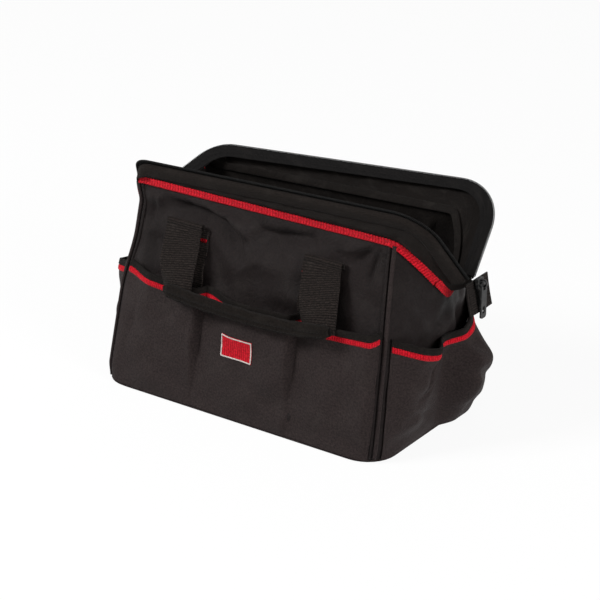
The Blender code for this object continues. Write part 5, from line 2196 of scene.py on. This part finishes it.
    def _grip(self, side: int) -> None:
        """The grip: the webbing rolled up and sewn along, sagging between the two straps.

        Args:
            side: which side.
        """
        name, feet = SIDES[side], self.feet[side]
        left, right = feet[-1] - self.grip_left_share * self.grip_overhang, feet[1] + self.grip_overhang
        place = np.linspace(-1, 1, self.grip_points)
        mid, half = (left + right) / 2, (right - left) / 2
        lift = self.grip_sag * np.abs(place) ** self.grip_bend * np.where(place < 0, self.grip_left_sag, 1.0)
        run = mid + half * place
        line = np.stack([run, 0 * place + side * self.grip_depth[side], self.grip_height + lift], axis=-1)
        aim = np.tile([0.0, 0.0, -1.0], (len(line), 1))
        along = unit(np.gradient(line, axis=0))
        aim = unit(aim - along * np.sum(aim * along, axis=1, keepdims=True))
        out = np.cross(aim, along)
        out *= np.sign(out[:, 1] * side)[:, None]
        turn = np.linspace(0, 2 * math.pi, 30, endpoint=False)
        outline = np.stack([np.cos(turn), np.sin(turn)], axis=-1)
        outline = np.sign(outline) * np.abs(outline) ** self.grip_roundness
        loss, reach = self.grip_taper
        size = 1 - loss + loss * smooth((1 - np.abs(place)) / reach)
        depth, middle, width = self.grip_groove
        groove = 1 - depth * bump(outline[:, 0], middle, width) * (outline[:, 1] > 0)
        lumps = np.ones((len(run), len(turn)))
        for rise, pace, turns in self.grip_lumps:
            lumps += rise * np.sin(run[:, None] * pace + turns * turn)
        halves = np.array([self.grip_width / 2, self.grip_thickness / 2])
        rings = outline[None] * halves * (size[:, None] * lumps * groove)[..., None]
        grip = swept(f"{name}_grip", line, aim, out, rings)
        settle(grip, HANDLE[side], (self.finishes.grip,), (f"{name}_handle",))
        inner = np.abs(place) < self.grip_sewn
        rows = []
        for edge in self.stitch_rows:
            row = line[inner] + aim[inner] * edge * self.grip_width / 2
            rows.append((row + out[inner] * self.grip_thickness * self.grip_stitch_stand, out[inner]))
        self.stitching.sew(f"{name}_grip_stitches", rows, HANDLE[side], self.finishes.thread)


@dataclass
class ZipTail:
    """The zip's sewn tail with its closed coil, the slider and the pull."""

    form: BagForm
    finishes: Finishes
    mouth: Mouth
    stitching: Stitching = field(default_factory=lambda: Stitching(0.0028, 0.0020, 0.00026))
    width: float = 0.034
    length: float = 0.028
    thickness: float = 0.0012
    shift: float = 0.003
    hang_degrees: float = 8.0
    rise: float = 0.002
    # How far the tail's foot curls out, and how much more its middle does
    curl: Flat = (0.0016, 0.0008)
    stitch_corners: tuple[Flat, ...] = ((-0.42, 0.08), (-0.42, 0.92), (0.42, 0.92), (0.42, 0.08))
    stitch_stand: float = 0.0001
    tab_stand: float = 0.001
    coil_shift: float = 0.0011
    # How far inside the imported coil's box the coils start, and how far under its top
    coil_corner: Flat = (0.0010, 0.0004)
    coil_short: float = 0.002

    def build(self) -> None:
        """Builds the tail and dresses the slider and the pull."""
        turn = math.radians(self.hang_degrees)
        down = np.array([math.sin(turn), 0, -math.cos(turn)])
        out = np.array([math.cos(turn), 0, math.sin(turn)])
        across, run = np.meshgrid(np.linspace(-0.5, 0.5, 30), np.linspace(0, 1, 36))
        tab = cloth("zip_tail_cloth", self._tab(across, run, down, out), self.thickness, out)
        skins = (self.finishes.webbing, self.finishes.webbing)
        settle(tab, Rides.BODY, skins, ("zip_tail_tab",))
        mix = np.linspace(0, 1, 30)
        rows = []
        for (a, b), (c, d) in zip(self.stitch_corners, self.stitch_corners[1:]):
            line = self._tab(a + (c - a) * mix, b + (d - b) * mix, down, out) + out * self.stitch_stand
            rows.append((line, np.broadcast_to(out, line.shape)))
        self.stitching.sew("zip_tail_stitches", rows, Rides.BODY, self.finishes.thread)
        low, high = (np.array(corner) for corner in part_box("zip_tail_chain"))
        inwards, lower = self.coil_corner
        for side, side_name in SIDES.items():
            name = f"zip_tail_coil_{side_name}"
            start = np.array([low[0] + inwards, side * self.coil_shift, high[2] - lower])
            stop = start + down * (self.length - self.coil_short)
            coil = self.mouth.coil(name, Curve(np.linspace(start, stop, 12)), out)
            settle(coil, Rides.BODY, (self.finishes.coil,), ("zip_tail_chain",))
        for node in ("zip_slider", "zip_pull"):
            self._dress(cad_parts[node])

    def _tab(self, across: Array, run: Array, down: Array, out: Array) -> Array:
        """Points of the tail's face.

        Args:
            across: how far across it, from -0.5 to 0.5.
            run: how far down it, from 0 to 1.
            down: the direction that it hangs in.
            out: the direction that it faces.

        Returns:
            The points.
        """
        top = self.form.mouth_end(1) + np.array([self.tab_stand, self.shift, self.rise])
        foot, middle = self.curl
        lift = self.thickness + (foot * run**2 + middle * np.cos(across * math.pi) * run)
        points = top + across[..., None] * np.array([0, self.width, 0])
        return points + run[..., None] * self.length * down + lift[..., None] * out

    def _dress(self, obj: bpy.types.Object) -> None:
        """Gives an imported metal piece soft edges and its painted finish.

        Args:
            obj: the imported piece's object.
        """
        obj.data.materials.clear()
        obj.data.materials.append(self.finishes.gunmetal)
        bevel = obj.modifiers.new("Soft edges", "BEVEL")
        bevel.width, bevel.segments, bevel.limit_method = 0.0002, 2, "ANGLE"


@dataclass(frozen=True)
class Lamp:
    """A square soft lamp: where it hangs, its edge in metres and its power in watts."""

    name: str
    place: tuple[float, float, float]
    size: float
    power: float

    def build(self, target: Vector) -> None:
        """Hangs the lamp.

        Args:
            target: the point that it looks at.
        """
        lamp = bpy.data.lights.new(self.name, "AREA")
        lamp.size, lamp.energy = self.size, self.power
        obj = bpy.data.objects.new(self.name, lamp)
        obj.location = self.place
        obj.rotation_euler = (target - Vector(self.place)).to_track_quat("-Z", "Y").to_euler()
        bpy.context.scene.collection.objects.link(obj)


@dataclass
class Studio:
    """The pale floor, the soft lamps and the camera."""

    turn_degrees: float = 35.3
    rise_degrees: float = 24.0
    distance: float = 2.0
    lens: float = 142.2
    target: tuple[float, float, float] = (0.0525, -0.0605, 0.12)
    lamps: tuple[Lamp, ...] = (
        Lamp("key_softbox", (-1.2, -1.4, 1.6), 0.7, 60.0),
        Lamp("side_softbox", (1.9, -0.5, 0.7), 0.8, 32.0),
        Lamp("top_softbox", (-0.3, 1.2, 1.8), 1.4, 4.0),
    )
    floor_half: float = 4.0
    floor_tone: float = 0.5
    floor_roughness: float = 0.9
    floor_glow: float = 1.06
    floor_share: float = 0.87
    surround_light: float = 0.16

    def build(self) -> None:
        """Sets up the scene around the bag."""
        scene = bpy.context.scene
        scene.view_settings.view_transform = "Standard"
        self._floor()
        self._world()
        for lamp in self.lamps:
            lamp.build(Vector(self.target))
        self._camera()

    def _seen(self, nodes: Nodes) -> bpy.types.NodeSocket:
        """1 where the background is seen directly, in a reflection or through glass.

        Args:
            nodes: the nodes of the material or the world.

        Returns:
            The socket of that share.
        """
        path = nodes.add("ShaderNodeLightPath")
        most = nodes.math("MAXIMUM", path.outputs["Is Camera Ray"], path.outputs["Is Glossy Ray"])
        return nodes.math("MAXIMUM", most, path.outputs["Is Transmission Ray"])

    def _floor(self) -> None:
        """A wide pale floor that keeps the bag's shadow."""
        mesh, far = bpy.data.meshes.new("floor"), self.floor_half
        mesh.from_pydata([(-far, -far, 0), (far, -far, 0), (far, far, 0), (-far, far, 0)], [], [(0, 1, 2, 3)])
        floor = bpy.data.objects.new("floor", mesh)
        bpy.context.scene.collection.objects.link(floor)
        material, nodes, shader = new_material("Pale floor")
        nodes.fill(shader, {"Base Color": (*[self.floor_tone] * 3, 1), "Roughness": self.floor_roughness})
        glow = nodes.add("ShaderNodeEmission", {"Color": (1, 1, 1, 1), "Strength": self.floor_glow})
        share = nodes.math("MULTIPLY", self._seen(nodes), self.floor_share)
        mix = nodes.add("ShaderNodeMixShader", {0: share, 1: shader.outputs[0], 2: glow.outputs[0]})
        nodes.fill(material.node_tree.nodes["Material Output"], {"Surface": mix.outputs[0]})
        mesh.materials.append(material)

    def _world(self) -> None:
        """A white surround for the eye and a softer one for the bag."""
        world = bpy.data.worlds.new("Studio")
        bpy.context.scene.world = world
        world.use_nodes = True
        nodes = Nodes(world.node_tree)
        background = world.node_tree.nodes["Background"]
        strength = nodes.ranged(self._seen(nodes), 0.0, 1.0, self.surround_light, 1.0)
        nodes.fill(background, {"Color": (1, 1, 1, 1), "Strength": strength})

    def _camera(self) -> None:
        """The camera at the photograph's angle."""
        data = bpy.data.cameras.new("camera")
        data.sensor_width, data.lens = 36.0, self.lens
        turn, rise = math.radians(self.turn_degrees), math.radians(self.rise_degrees)
        back = Vector((math.sin(turn) * math.cos(rise), -math.cos(turn) * math.cos(rise), math.sin(rise)))
        camera = bpy.data.objects.new("camera", data)
        camera.location = Vector(self.target) + back * self.distance
        camera.rotation_euler = (-back).to_track_quat("-Z", "Y").to_euler()
        bpy.context.scene.collection.objects.link(camera)
        bpy.context.scene.camera = camera


def main() -> None:
    """Builds the whole bag and its studio."""
    logging.basicConfig(level=logging.INFO, format="%(name)s: %(message)s")
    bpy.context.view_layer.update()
    form, finishes = BagForm(), Finishes(Effects())
    Studio().build()
    shell = Shell(form, finishes)
    shell.build()
    Pockets(form, finishes).build()
    mouth = Mouth(form, finishes)
    mouth.build()
    Handles(form, finishes, shell).build()
    ZipTail(form, finishes, mouth).build()
    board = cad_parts["base_board"]
    board.data.materials.clear()
    board.data.materials.append(finishes.board)


if __name__ == "__main__":
    main()
